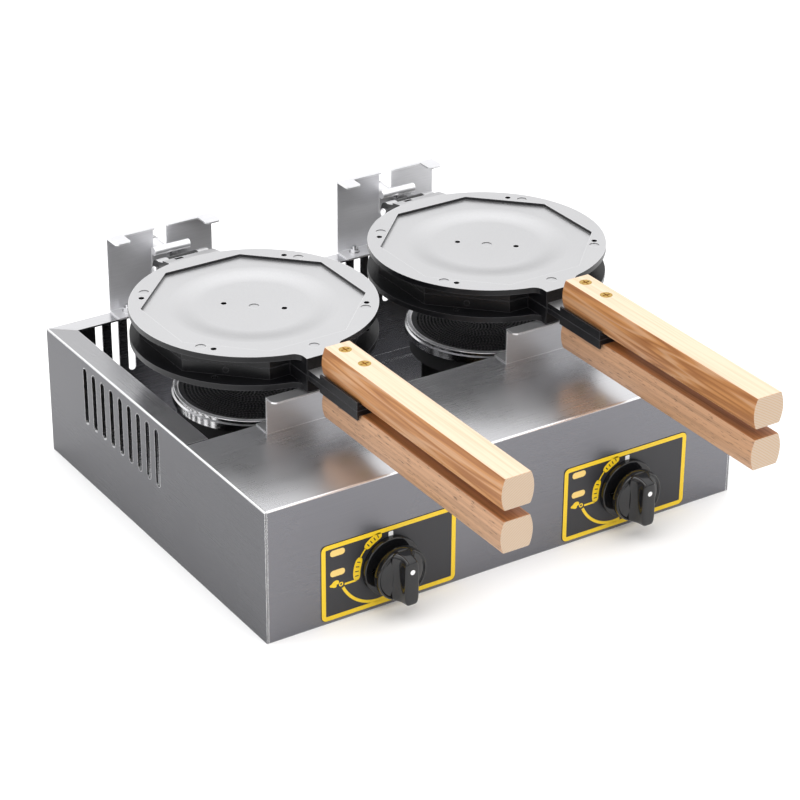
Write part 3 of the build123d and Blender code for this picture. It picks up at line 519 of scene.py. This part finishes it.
def grained_metal(
    name, colour, scales, rough, contrast=0.06, bump=0.03, metallic=1.0, edge=None, flat=None,
):
    """Metal with fine lines: the grain shifts colour and roughness, and clouds dull it.

    Where edge is given, it is a painted highlight, laid on the edges and bends. Where flat is given, it is
    painted
    light: a lighter colour on the faces that look up.
    """
    material, tree, shader = new_material(name, metallic, sum(rough) / 2)
    grain = place_group(tree, "Long Grain", Scale_X=scales[0], Scale_Y=scales[1], Scale_Z=scales[2])
    blend = mix_colours(
        tree, map_range(tree, grain.outputs["Grain"], 0.3, 0.7, 0, 1),
        tinted(colour, 1 - contrast), tinted(colour, 1 + contrast),
    )
    # Painted light: faces that look up get the lighter flat colour.
    if flat:
        up = place_group(tree, "Facing", Way=1.0, Edge=0.9).outputs["Mask"]
        blend = mix_colours(tree, up, blend, flat)
    # Painted highlight: the edge mask lays the edge colour on edges and bends.
    if edge:
        blend = mix_colours(tree, place_group(tree, "Edge Wear").outputs["Mask"], blend, edge)
    tree.links.new(blend, shader.inputs["Base Color"])
    fine = map_range(tree, grain.outputs["Grain"], 0.3, 0.7, *rough)
    cloudy = map_range(tree, grain.outputs["Cloud"], 0.35, 0.65, -0.03, 0.04)
    tree.links.new(maths(tree, "ADD", fine, cloudy), shader.inputs["Roughness"])
    add_bump(tree, shader, grain.outputs["Grain"], bump, 0.0003)
    return material


def plate_material(name, way, settings):
    """Casting: bare and blasted on the faces that look the given way, coated black elsewhere."""
    material, tree, shader = new_material(name, 1.0, 0.5)
    shader.inputs["Specular IOR Level"].default_value = COATING_SPECULAR
    facing = place_group(tree, "Facing", Way=way, Edge=0.6, From_Y=HANDLE_BACK).outputs["Mask"]
    speckle = place_group(tree, "Long Grain", Scale_X=1500, Scale_Y=1500, Scale_Z=1500)
    grain = speckle.outputs["Grain"]
    casting = settings.casting
    bare = mix_colours(
        tree, map_range(tree, grain, 0.3, 0.7, 0, 1), tinted(casting, 0.92), tinted(casting, 1.08),
    )
    # Painted highlight: the edge mask turns the bare edges near white and the coated edges grey.
    edge_highlight_mask = place_group(tree, "Edge Wear", Low=0.03, High=0.35, Bends=0.0).outputs["Mask"]
    bare = mix_colours(tree, edge_highlight_mask, bare, settings.painted_edge_highlight)
    coat = mix_colours(tree, maths(tree, "MULTIPLY", edge_highlight_mask, 0.5), settings.coating, COATING_PAINTED_HIGHLIGHT)
    tree.links.new(mix_colours(tree, facing, coat, bare), shader.inputs["Base Color"])
    tree.links.new(map_range(tree, facing, 0, 1, 0, BARE_METALLIC), shader.inputs["Metallic"])
    rough_bare = map_range(tree, speckle.outputs["Cloud"], 0.35, 0.65, 0.33, 0.40)
    rough_coated = map_range(tree, grain, 0.3, 0.7, 0.26, 0.36)
    difference = maths(tree, "SUBTRACT", rough_bare, rough_coated)
    rough = maths(tree, "ADD", rough_coated, maths(tree, "MULTIPLY", difference, facing))
    tree.links.new(rough, shader.inputs["Roughness"])
    add_bump(tree, shader, grain, 0.10, 0.0004)
    return material


def upper_wood_colour(tree, settings, wood, thin, outer_face):
    """Pale on the outer face with faint fibres, and streaked on the sides."""
    rings = wood.outputs["Rings"]
    side = mix_colours(tree, map_range(tree, rings, 0.60, 1.0, 0, 0.60), settings.side, settings.streak)
    side = mix_colours(tree, maths(tree, "MULTIPLY", thin, 0.55), side, settings.streak)
    between = maths(tree, "MULTIPLY", map_range(tree, rings, 0.0, 0.35, 1, 0), 0.22)
    side = mix_colours(tree, between, side, settings.pale)
    outer = mix_colours(tree, maths(tree, "MULTIPLY", thin, 0.30), settings.pale, settings.side)
    return mix_colours(tree, outer_face, side, outer)


def lower_wood_colour(tree, settings, wood, thin, inner_face):
    """Tan with dark pores, and redder on the face that looks up at the other bar."""
    ground = mix_colours(tree, thin, tinted(settings.tan, 1.15), tinted(settings.tan, 0.80))
    pores = map_range(tree, wood.outputs["Pores"], 0.60, 0.68, 0, 0.8)
    ground = mix_colours(tree, pores, ground, tinted(settings.tan, 0.28))
    redder = mix_colours(tree, thin, settings.inner, tinted(settings.inner, 0.62))
    return mix_colours(tree, inner_face, ground, redder)


def wood_material(name, settings, ring_density, colour_maker):
    """Wood: a bar's own colours on its long faces, and pale end grain with fine arcs on its ends."""
    material, tree, shader = new_material(name, 0.0, 0.45)
    wood = place_group(tree, "Wood Rings", Scale_X=20, Scale_Y=1.5, Scale_Z=30, Ring_density=ring_density)
    fibre = wood.outputs["Fibre"]
    facing = place_group(tree, "Facing", Way=1.0, Edge=0.80)
    thin = map_range(tree, fibre, 0.46, 0.66, 0, 1)
    colour = colour_maker(tree, settings, wood, thin, facing.outputs["Mask"])
    lines = maths(tree, "MULTIPLY", wood.outputs["Arcs"], 0.42)
    ends = mix_colours(tree, lines, tinted(settings.pale, 0.72), settings.side)
    colour = mix_colours(tree, facing.outputs["End"], colour, ends)
    tree.links.new(colour, shader.inputs["Base Color"])
    tree.links.new(map_range(tree, fibre, 0.3, 0.7, 0.38, 0.54), shader.inputs["Roughness"])
    add_bump(tree, shader, wood.outputs["Pores"], 0.12, 0.0004)
    return material


def moulded_material(name, colour, rough, bump=0.02):
    """Moulded or printed surface with a faint speckle."""
    material, tree, shader = new_material(name, 0.0, sum(rough) / 2)
    speckle = place_group(tree, "Long Grain", Scale_X=2600, Scale_Y=2600, Scale_Z=2600)
    blend = mix_colours(
        tree, map_range(tree, speckle.outputs["Grain"], 0.3, 0.7, 0, 1),
        tinted(colour, 0.9), tinted(colour, 1.1),
    )
    tree.links.new(blend, shader.inputs["Base Color"])
    tree.links.new(map_range(tree, speckle.outputs["Cloud"], 0.3, 0.7, *rough), shader.inputs["Roughness"])
    add_bump(tree, shader, speckle.outputs["Grain"], bump, 0.0002)
    return material


def make_materials():
    """Builds the shader groups, and every material under its short key."""
    build_grain_group()
    build_facing_group()
    build_wood_group()
    build_edge_group()
    scene = bpy.context.scene
    metal, wood, label = scene.cone_metal, scene.cone_wood, scene.cone_label
    steel, brass, bent, deck_painted_light, painted_edge_highlight = (
        tuple(colour) for colour in (metal.steel, metal.brass, metal.bent, metal.deck_painted_light, metal.painted_edge_highlight)
    )
    return {
        # Front sheet: painted light on the faces that look up, and painted highlights on its edges and
        # bends.
        "sheet_x": grained_metal(
            "Steel brushed across", steel, (9, 1400, 2600), (0.24, 0.30), edge=painted_edge_highlight, flat=deck_painted_light,
        ),
        "sheet_y": grained_metal(
            # Side panels: painted shade on their sides, and painted light on their folded rims.
            "Steel brushed in depth", tinted(steel, SIDE_PAINTED_SHADE), (2600, 9, 2600), (0.24, 0.30),
            edge=painted_edge_highlight, flat=tinted(deck_painted_light, RIM_PAINTED_LIGHT),
        ),
        "bent": grained_metal(
            "Steel of brackets", bent, (60, 1500, 1500), (0.42, 0.50),
            contrast=0.05, metallic=0.75, edge=painted_edge_highlight,
        ),
        "rest": grained_metal(
            "Steel of rests", tinted(bent, REST_SHADE), (60, 1500, 1500), (0.36, 0.44),
            contrast=0.05, metallic=0.85, edge=painted_edge_highlight,
        ),
        "bright": grained_metal(
            "Bright steel", (0.78, 0.78, 0.79), (700, 700, 700), (0.10, 0.20), bump=0.02,
        ),
        "ring": grained_metal(
            "Polished ring", (0.74, 0.74, 0.75), (300, 300, 2500), (0.10, 0.22), contrast=0.12,
        ),
        "brass": grained_metal(
            "Brass", brass, (900, 900, 900), (0.12, 0.22), contrast=0.10, bump=0.04,
        ),
        "upper_plate": plate_material("Casting, bare above", 1.0, metal),
        "lower_plate": plate_material("Casting, bare below", -1.0, metal),
        "baking": grained_metal(
            "Seasoned baking face", (0.10, 0.095, 0.09), (500, 500, 500), (0.34, 0.50),
            contrast=0.2, bump=0.1,
        ),
        "iron": grained_metal(
            "Cast iron", (0.035, 0.035, 0.037), (1100, 1100, 1100), (0.55, 0.75),
            contrast=0.3, bump=0.3, metallic=0.6,
        ),
        "dark": grained_metal(
            "Burner plate", (0.030, 0.030, 0.033), (900, 900, 900), (0.30, 0.48),
            contrast=0.3, bump=0.1, metallic=0.8,
        ),
        "upper_wood": wood_material("Wood, streaked", wood, 14, upper_wood_colour),
        "lower_wood": wood_material("Wood, pored", wood, 5, lower_wood_colour),
        "plastic": moulded_material("Black plastic", (0.008, 0.008, 0.009), (0.07, 0.14)),
        "label": moulded_material("Label ground", (0.018, 0.018, 0.022), (0.36, 0.46)),
        "yellow": moulded_material("Label yellow", tuple(label.yellow), (0.36, 0.46)),
        "pale_yellow": moulded_material("Label pale yellow", tuple(label.pale_yellow), (0.36, 0.46)),
        "white": moulded_material("White paint", (0.86, 0.86, 0.86), (0.35, 0.45)),
    }


def finish_node(name, key):
    """Gives a CAD node one material."""
    slots = NODES[name].data.materials
    slots.clear()
    slots.append(MATERIALS[key])


MATERIALS = {}
HOUSING_FINISH = {
    "front_cover": "sheet_x",
    "back_panel": "sheet_x",
    "base_pan": "sheet_x",
    "left_side_panel": "sheet_y",
    "right_side_panel": "sheet_y",
    "bracket_bolts": "bright",
    "rest_screws": "bright",
    "valve_screws": "bright",
    "gas_manifold": "brass",
    "gas_inlet": "brass",
}
HEAD_FINISH = {
    "rear_bracket": "bent",
    "front_rest": "rest",
    "tilt_saddle": "bent",
    "hinge_pin": "bright",
    "spigot_shaft": "bright",
    "shaft_collar": "bright",
    "upper_plate": "upper_plate",
    "lower_plate": "lower_plate",
    "upper_handle": "upper_wood",
    "lower_handle": "lower_wood",
    "upper_handle_screws": "brass",
    "lower_handle_screws": "brass",
    "burner_body": "iron",
    "burner_ring": "ring",
    "burner_plate": "dark",
    "burner_bridge": "iron",
    "gas_valve": "brass",
    "valve_plug": "brass",
    "valve_stem": "bright",
    "valve_spring": "bright",
    "gas_jet": "brass",
    "control_label": "label",
    "escutcheon": "plastic",
    "knob": "plastic",
}


class CONE_OT_materials(bpy.types.Operator):
    """Builds all materials and puts one on every CAD node"""

    bl_idname = "cone.materials"
    bl_label = "Finishes"

    def execute(self, context):
        MATERIALS.update(make_materials())
        for name, key in HOUSING_FINISH.items():
            finish_node(name, key)
        for side in SIDES:
            for name, key in HEAD_FINISH.items():
                finish_node(f"{name}_{side}", key)
        return {"FINISHED"}


# ---------------------------------------------------------------- burner plates
HOLE_STEP = 6  # each circle's count of holes is a multiple of this
HOLE_SWEEP = 0.11  # radians that each circle of holes is turned past the last
HOLE_WALL = (0.30, 0.44)  # where a pit's wall starts and ends, as shares of the pitch
PLAIN_RIM = (4 * MM, 2.5 * MM)  # the pits fade out between these distances from the rim
PLATE_DROP = 0.4 * MM  # the rim lies this much below the middle


def burner_plate_surface(side, settings):
    """Domed disc with pressed holes.

    The height over a polar grid is a low cosine dome less a pit at each hole. Holes stand on circles one row
    pitch apart; each circle has about as many holes as fit at that pitch, and its phase grows with the
    radius, so the holes line up in swept arcs. A pit is a smooth step of the distance to the nearest hole.
    """
    low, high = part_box(f"burner_plate_{side}")
    centre = (low + high) / 2
    radius = (high.x - low.x) / 2
    r = np.linspace(0.5 * MM, radius, settings.rings)[:, None]
    a = np.linspace(0, TURN, settings.spokes, endpoint=False)[None, :]
    pitch = settings.row_pitch
    row = np.maximum(np.rint(r / pitch), 1)
    count = np.maximum(np.rint(TURN * row / HOLE_STEP) * HOLE_STEP, HOLE_STEP)
    step = TURN / count
    along = (np.mod(a + row * HOLE_SWEEP + step / 2, step) - step / 2) * r
    across = r - row * pitch
    pit = 1 - smoothstep(HOLE_WALL[0] * pitch, HOLE_WALL[1] * pitch, np.hypot(along, across))
    rim = smoothstep(radius - PLAIN_RIM[0], radius - PLAIN_RIM[1], r)
    dome = PLATE_DROP * (1 - np.cos(np.pi * r / radius)) / 2
    z = high.z - settings.hole_depth * pit * (1 - rim) - dome
    top = stack(centre.x + r * np.cos(a), centre.y + r * np.sin(a), z)
    under = stack(centre.x + r[::-1] * np.cos(a), centre.y + r[::-1] * np.sin(a), low.z)[[0, -1]]
    return loft(np.concatenate([top, under]))


class CONE_OT_burners(bpy.types.Operator):
    """Makes the perforated burner plates"""

    bl_idname = "cone.burners"
    bl_label = "Burner plates"

    def execute(self, context):
        for side in SIDES:
            points, faces = burner_plate_surface(side, context.scene.cone_burner)
            piece = mesh_piece(
                f"perforated_plate_{side}", points, faces, "housing", MATERIALS["dark"],
            )
            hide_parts(f"burner_plate_{side}")
        return {"FINISHED"}


# ---------------------------------------------------------------- baking faces
RIDGE_WALL = (0.35 * MM, 1.3 * MM)  # a ridge's side starts and ends at these distances from its line
PATTERN_FADE = (0.93, 0.98)  # the ridges fade out between these shares of the radius
FACE_FROM_PARTING = 1.40 * MM
FACE_THICKNESS = 0.04 * MM


def baking_surface(side, word, settings):
    """Disc with a diamond lattice of ridges.

    Over a polar grid, the height is the larger of two ridge waves that cross at right angles: a ridge is a
    smooth step of the distance to the nearest line of the lattice. It fades out at the rim.
    """
    handle_low, handle_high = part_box(f"{word}_handle_{side}")
    ring_low, ring_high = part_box(f"burner_ring_{side}")
    x0 = (handle_low.x + handle_high.x) / 2
    y0 = (ring_low.y + ring_high.y) / 2
    ring = np.linspace(0.4 * MM, settings.radius, settings.steps)[:, None]
    angle = np.linspace(0, TURN, 2 * settings.steps, endpoint=False)[None, :]
    x, y = ring * np.cos(angle), ring * np.sin(angle)
    ridges = []
    for line in ((x + y) / np.sqrt(2), (x - y) / np.sqrt(2)):
        distance = np.abs(np.mod(line + settings.pitch / 2, settings.pitch) - settings.pitch / 2)
        ridges.append(1 - smoothstep(*RIDGE_WALL, distance))
    fade = 1 - smoothstep(*PATTERN_FADE, ring / settings.radius)
    height = settings.height * np.maximum(*ridges) * fade
    way = 1 if word == "upper" else -1
    ground = PARTING[side] + way * FACE_FROM_PARTING
    face = stack(x0 + x, y0 + y, ground - way * height)
    back = stack(x0 + x, y0 + y, ground + way * FACE_THICKNESS)[[-1, 0]]
    return loft(np.concatenate([face, back]))


class CONE_OT_baking(bpy.types.Operator):
    """Makes the patterned faces between the plates"""

    bl_idname = "cone.baking"
    bl_label = "Baking faces"

    def execute(self, context):
        for side in SIDES:
            for word in ("upper", "lower"):
                points, faces = baking_surface(side, word, context.scene.cone_baking)
                mesh_piece(
                    f"baking_face_{word}_{side}", points, faces, f"{word}_mould_{side}",
                    MATERIALS["baking"],
                )
        return {"FINISHED"}


# ---------------------------------------------------------------- knobs
GRIP_START = 6.5 * MM  # from the skirt's back to the grip's back
GRIP_HALF_WIDTH, GRIP_FLARE = 6.4, 5.5
GRIP_HALF_HEIGHT, GRIP_LEAN, GRIP_TAPER = 22.3, 3.8, 1.2
DOT_RADIUS, DOT_HEIGHT = 2.2 * MM, 9.5 * MM
DOT_PROUD, DOT_SUNK = 0.15 * MM, 0.4 * MM


def join(*shells):
    """One set of points and faces from several closed shells."""
    points, faces, start = [], [], 0
    for part_points, part_faces in shells:
        points.append(part_points)
        faces.extend([[corner + start for corner in face] for face in part_faces])
        start += len(part_points)
    return np.concatenate(points), faces


def knob_skirt(centre, back, radius, steps=96):
    """Round skirt, as a profile of radius against depth turned about the knob's axis.

    From the back: a short rounded edge, a straight side, a raised rim, a groove inside it, a shallow cone.
    """
    profile = np.array([
        (0.30, 0.0), (0.965, 0.0), (0.99, 0.3), (1.0, 1.0), (1.0, 5.6), (0.992, 6.4), (0.97, 7.0),
        (0.94, 7.1), (0.915, 6.8), (0.90, 6.2), (0.885, 6.1), (0.86, 6.5), (0.80, 7.0), (0.60, 8.2),
        (0.30, 9.0),
    ])
    angle = np.linspace(0, TURN, steps, endpoint=False)[None, :]
    r, depth = radius * profile[:, :1], profile[:, 1:] * MM
    return loft(stack(centre[0] + r * np.cos(angle), back - depth, centre[1] + r * np.sin(angle)))


def knob_grip(centre, back, front, steps=72):
    """Grip bar: superellipse sections of power five, stacked from the skirt to the front.

    The half width flares towards the skirt as the cube of the way back, so the sides are hollow; the upper
    end leans back, because the top of each section sinks as it comes forward; the last rings round the front
    edge.
    """
    t = np.array([0, 0.1, 0.2, 0.32, 0.45, 0.6, 0.75, 0.88, 0.95, 0.985, 1.0, 1.0])[:, None]
    inset = np.array([0, 0, 0, 0, 0, 0, 0, 0, 0.15, 0.6, 1.4, 4.5])[:, None] * MM
    width = (GRIP_HALF_WIDTH + GRIP_FLARE * (1 - t) ** 3) * MM - inset
    top = (GRIP_HALF_HEIGHT - GRIP_LEAN * t**1.6) * MM - inset
    bottom = (GRIP_HALF_HEIGHT - GRIP_TAPER * t) * MM - inset
    angle = np.linspace(0, TURN, steps, endpoint=False)[None, :]
    c, d = np.cos(angle), np.sin(angle)
    x = width * np.sign(c) * np.abs(c) ** 0.4
    z = (top + bottom) / 2 * np.sign(d) * np.abs(d) ** 0.4 + (top - bottom) / 2
    y = back + (front - back) * t + np.zeros_like(angle)
    return loft(stack(centre[0] + x, y, centre[1] + z))


class CONE_OT_knobs(bpy.types.Operator):
    """Makes the two control knobs and their white dots"""

    bl_idname = "cone.knobs"
    bl_label = "Knobs"

    def execute(self, context):
        for side in SIDES:
            low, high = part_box(f"knob_{side}")
            centre = np.array([(low.x + high.x) / 2, (low.z + high.z) / 2])
            radius = (high.x - low.x) / 2
            skirt = knob_skirt(centre, high.y, radius)
            grip = knob_grip(centre, high.y - GRIP_START, low.y)
            points, faces = join(skirt, grip)
            piece = mesh_piece(
                f"dial_{side}_knob", points, faces, f"dial_{side}", MATERIALS["plastic"],
            )
            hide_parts(f"knob_{side}")
            dot = centre + np.array((0, DOT_HEIGHT)) + arc(DOT_RADIUS, 0, 360, 33)[:-1]
            points, faces = prism(dot, low.y - DOT_PROUD, low.y + DOT_SUNK)
            mesh_piece(
                f"knob_dot_{side}", points, faces, f"dial_{side}", MATERIALS["white"],
                smooth=False,
            )
        return {"FINISHED"}


# ---------------------------------------------------------------- label marks
# Places and sizes on the label in millimetres, from its middle, and angles in degrees from its right side
MARK_PROUD, MARK_SUNK = 0.10, 0.05
CORNER_RADIUS = 3
PILL_SIZE, PILL_SPOTS = (13.6, 5.8, 2.7), ((-48.8, 26.2), (-48.8, 7.6))
FLAME_SIZE, FLAME_SPOT = 4.6, (-52.5, -3.2)
RING_RADIUS, RING_HALF_WIDTH, RING_SPOT = 1.5, 0.5, (-45.6, -4.2)
LEAD_START, LEAD_END, LEAD_HEIGHT, LEAD_HALF_WIDTH = -42.3, -31.5, -5.2, 0.9
BAND_ANGLES = ((190, 152), (137, 104))
BAND_END, BAND_SWELL = 0.8, 2.6
TICK_REACH, TICK_HALF_WIDTH, TICK_PROUD = 1.6, 0.45, 0.05
LINK_ANGLES, LINK_HALF_WIDTH = (153, 136), 0.6
SWEEP_RADII, SWEEP_ANGLES, SWEEP_HALF_WIDTH = (44.5, 29.5), (190, 262), 1.3
START_SIZE, START_SPOT = (4.4, 4.4, 0.8), (1.2, 27.8)


def prism(outline, front, back):
    """Solid between two copies of a closed outline (m, 2) in X and Z, at two depths."""
    rings = [stack(outline[:, 0], depth, outline[:, 1]) for depth in (front, back)]
    return loft(np.stack(rings))


def ribbon(path, half_width, front, back, closed=False):
    """Flat band along a path (n, 2): each point is set off by the half width along the path's normal."""
    step = np.gradient(path, axis=0)
    if closed:
        step = np.roll(path, -1, axis=0) - np.roll(path, 1, axis=0)
    normal = np.stack([-step[:, 1], step[:, 0]], axis=1)
    normal /= np.linalg.norm(normal, axis=1, keepdims=True)
    half = np.broadcast_to(np.asarray(half_width, float), (len(path),))[:, None]
    left, right = path + normal * half, path - normal * half
    corners = ((left, front), (right, front), (right, back), (left, back))
    rings = np.stack([stack(side[:, 0], depth, side[:, 1]) for side, depth in corners], axis=1)
    return loft(rings, closed)


def rounded_rectangle(width, height, radius, steps=10):
    """Outline of a rectangle whose corners are quarter circles."""
    quarter = np.linspace(0, np.pi / 2, steps)
    corners = []
    for number, (sx, sz) in enumerate(((1, 1), (-1, 1), (-1, -1), (1, -1))):
        angle = quarter + number * np.pi / 2
        corners.append(np.stack([
            sx * (width / 2 - radius) + radius * np.cos(angle),
            sz * (height / 2 - radius) + radius * np.sin(angle),
        ], axis=1))
    return np.concatenate(corners)


def arc(radius, start, end, steps=24):
    """Points of an arc in degrees; the radius may be a pair, and then it changes evenly along the arc."""
    angle = np.radians(np.linspace(start, end, steps))
    r = np.linspace(radius[0], radius[1], steps) if isinstance(radius, tuple) else radius
    return np.stack([r * np.cos(angle), r * np.sin(angle)], axis=1)


def flame_outline(size):
    """Lying flame: a circle pulled out to a point, with a notch, as a polar curve."""
    angle = np.linspace(0, TURN, 60, endpoint=False)
    point = np.maximum(np.cos((angle - 0.7) / 2), 0) ** 6
    r = size * (0.55 + 0.45 * point - 0.10 * np.cos(3 * angle))
    return np.stack([1.25 * r * np.cos(angle), 0.9 * r * np.sin(angle)], axis=1)


def label_marks(side, settings):
    """Yields each mark of one label as its name, its points and faces, and its colour's key."""
    low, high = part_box(f"control_label_{side}")
    centre = np.array([(low.x + high.x) / 2, (low.z + high.z) / 2])
    front, back = low.y - MARK_PROUD * MM, low.y + MARK_SUNK * MM
    radius = settings.dial_radius

    def spot(place):
        return centre + np.array(place) * MM

    inset = settings.border / 2 + 0.2 * MM
    size = (high.x - low.x - 2 * inset, high.z - low.z - 2 * inset)
    edge = centre + rounded_rectangle(*size, CORNER_RADIUS * MM)
    yield "label_border", ribbon(edge, settings.border / 2, front, back, True), "yellow"
    for number, place in enumerate(PILL_SPOTS, 1):
        pill = spot(place) + rounded_rectangle(*(length * MM for length in PILL_SIZE))
        yield f"label_pill_{number}", prism(pill, front, back), "pale_yellow"
    flame = spot(FLAME_SPOT) + flame_outline(FLAME_SIZE * MM)
    yield "label_flame", prism(flame, front, back), "yellow"
    ring = spot(RING_SPOT) + arc(RING_RADIUS * MM, 0, 360, 25)[:-1]
    yield "label_ring", ribbon(ring, RING_HALF_WIDTH * MM, front, back, True), "yellow"
    lead = spot(np.stack([np.linspace(LEAD_START, LEAD_END, 8), np.full(8, LEAD_HEIGHT)], axis=1))
    yield "label_lead", ribbon(lead, LEAD_HALF_WIDTH * MM, front, back), "yellow"
    for number, (start, end) in enumerate(BAND_ANGLES, 1):
        t = np.linspace(-1, 1, 40)
        swell = (BAND_END + BAND_SWELL * np.sqrt(np.clip(1 - t**4, 0, 1))) * MM
        band = centre + arc(radius, start, end, 40)
        yield f"label_band_{number}", ribbon(band, swell, front, back), "yellow"
        for tick, angle in enumerate(np.linspace(start, end, 6)[1:-1], 1):
            ends = [arc(radius + reach * MM, angle, angle, 1)[0] for reach in (-TICK_REACH, TICK_REACH)]
            rise = TICK_PROUD * MM
            cut = ribbon(centre + np.stack(ends), TICK_HALF_WIDTH * MM, front - rise, front + rise)
            yield f"label_tick_{number}_{tick}", cut, "label"
    link = centre + arc(radius, *LINK_ANGLES)
    yield "label_link", ribbon(link, LINK_HALF_WIDTH * MM, front, back), "yellow"
    sweep = centre + arc(tuple(r * MM for r in SWEEP_RADII), *SWEEP_ANGLES, 40)
    yield "label_sweep", ribbon(sweep, SWEEP_HALF_WIDTH * MM, front, back), "yellow"
    start_mark = spot(START_SPOT) + rounded_rectangle(*(length * MM for length in START_SIZE))
    yield "label_start_mark", prism(start_mark, front, back), "white"


class CONE_OT_label(bpy.types.Operator):
    """Makes the border, pills, bands and marks of the two labels"""

    bl_idname = "cone.label"
    bl_label = "Label marks"

    def execute(self, context):
        for side in SIDES:
            for name, (points, faces), colour in label_marks(side, context.scene.cone_label):
                mesh_piece(
                    f"{name}_{side}", points, faces, "housing", MATERIALS[colour], smooth=False,
                )
        return {"FINISHED"}


# ---------------------------------------------------------------- stage
SENSOR_WIDTH = 36  # millimetres
FLOOR_HALF = 12
DOME_RANGE = (0.05, 0.95)  # heights between which the dome goes from its foot's brightness to its top's
LIGHTS = (  # name, place, target, size and the setting that holds its power
    ("Key", (-0.3, -0.2, 2.3), (0, 0, 0), 1.6, "key_power"),
    ("Side", (-2.2, -0.6, 1.2), (0, 0, 0.1), 1.2, "side_power"),
    ("Front", (0.9, -2.4, 1.3), (0, 0, 0.1), 1.2, "front_power"),
)


def camera_matrix(settings):
    """Camera axes from azimuth, elevation and roll: back, right and up, then a turn about the view."""
    az, el, roll = settings.azimuth, settings.elevation, settings.roll
    back = np.array([np.sin(az) * np.cos(el), -np.cos(az) * np.cos(el), np.sin(el)])
    right = np.array([np.cos(az), np.sin(az), 0])
    up = np.cross(back, right)
    turned_right = np.cos(roll) * right + np.sin(roll) * up
    turned_up = -np.sin(roll) * right + np.cos(roll) * up
    matrix = np.eye(4)
    matrix[:3, :3] = np.stack([turned_right, turned_up, back], axis=1)
    matrix[:3, 3] = settings.place
    return Matrix(matrix.tolist())


def area_light(name, place, target, size, power):
    """Square area light that looks at a point."""
    data = bpy.data.lights.new(name, "AREA")
    data.size = size
    data.energy = power
    light = bpy.data.objects.new(name, data)
    bpy.context.scene.collection.objects.link(light)
    back = np.array(place, float) - np.array(target, float)
    back /= np.linalg.norm(back)
    right = np.cross((0, 0, 1), back) if abs(back[2]) < 0.99 else np.array([1.0, 0, 0])
    right = right / np.linalg.norm(right)
    matrix = np.eye(4)
    matrix[:3, :3] = np.stack([right, np.cross(back, right), back], axis=1)
    matrix[:3, 3] = place
    light.matrix_world = Matrix(matrix.tolist())


def add_camera(scene, settings):
    """Camera of the stage."""
    data = bpy.data.cameras.new("Camera")
    data.sensor_width = SENSOR_WIDTH
    data.lens = settings.lens
    camera = bpy.data.objects.new("Camera", data)
    scene.collection.objects.link(camera)
    camera.matrix_world = camera_matrix(settings)
    scene.camera = camera


def add_floor(scene, settings):
    """Wide matt sheet under the object."""
    signs = ((-1, -1), (1, -1), (1, 1), (-1, 1))
    mesh = bpy.data.meshes.new("Floor")
    mesh.from_pydata([(FLOOR_HALF * x, FLOOR_HALF * y, 0) for x, y in signs], [], [(0, 1, 2, 3)])
    floor = bpy.data.objects.new("Floor", mesh)
    scene.collection.objects.link(floor)
    material, tree, shader = new_material("Floor paper", 0.0, 0.7)
    grain = place_group(tree, "Long Grain", Scale_X=40, Scale_Y=40, Scale_Z=40)
    colour = tuple(settings.floor_colour)
    blend = mix_colours(tree, grain.outputs["Grain"], tinted(colour, 0.995), tinted(colour, 1.005))
    tree.links.new(blend, shader.inputs["Base Color"])
    mesh.materials.append(material)


def add_dome(scene, settings):
    """White world that grows brighter from its foot to its top."""
    world = bpy.data.worlds.new("Studio")
    world.use_nodes = True
    tree = world.node_tree
    height = split_axes(tree, coordinates(tree, "Generated"))["Z"]
    strength = map_range(tree, height, *DOME_RANGE, settings.horizon, settings.zenith)
    background = tree.nodes["Background"]
    tree.links.new(strength, background.inputs["Strength"])
    background.inputs["Color"].default_value = (1, 1, 1, 1)
    scene.world = world


class CONE_OT_stage(bpy.types.Operator):
    """Makes the floor, the lights and the camera"""

    bl_idname = "cone.stage"
    bl_label = "Stage"

    def execute(self, context):
        scene = context.scene
        settings = scene.cone_stage
        add_camera(scene, settings)
        scene.view_settings.view_transform = "Standard"
        add_floor(scene, settings)
        add_dome(scene, settings)
        for name, place, target, size, power in LIGHTS:
            area_light(name, place, target, size, getattr(settings, power))
        return {"FINISHED"}


# ---------------------------------------------------------------- panel and registration
OPERATORS = (
    CONE_OT_materials, CONE_OT_stage, CONE_OT_burners, CONE_OT_baking, CONE_OT_knobs, CONE_OT_label,
)


class CONE_PT_panel(bpy.types.Panel):
    """Lists the operators in the sidebar"""

    bl_idname = "CONE_PT_panel"
    bl_label = "Cone Baker"
    bl_space_type = "VIEW_3D"
    bl_region_type = "UI"
    bl_category = "Cone Baker"

    def draw(self, context):
        for operator in OPERATORS:
            self.layout.operator(operator.bl_idname)


def register():
    for name, settings in SETTINGS.items():
        bpy.utils.register_class(settings)
        setattr(bpy.types.Scene, name, PointerProperty(type=settings))
    for operator in OPERATORS:
        bpy.utils.register_class(operator)
    bpy.utils.register_class(CONE_PT_panel)


def unregister():
    bpy.utils.unregister_class(CONE_PT_panel)
    for operator in reversed(OPERATORS):
        bpy.utils.unregister_class(operator)
    for name, settings in SETTINGS.items():
        delattr(bpy.types.Scene, name)
        bpy.utils.unregister_class(settings)


def main():
    """Registers the add-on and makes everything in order."""
    register()
    bpy.ops.cone.materials()
    bpy.ops.cone.stage()
    bpy.ops.cone.burners()
    bpy.ops.cone.baking()
    bpy.ops.cone.knobs()
    bpy.ops.cone.label()


if __name__ == "__main__":
    main()
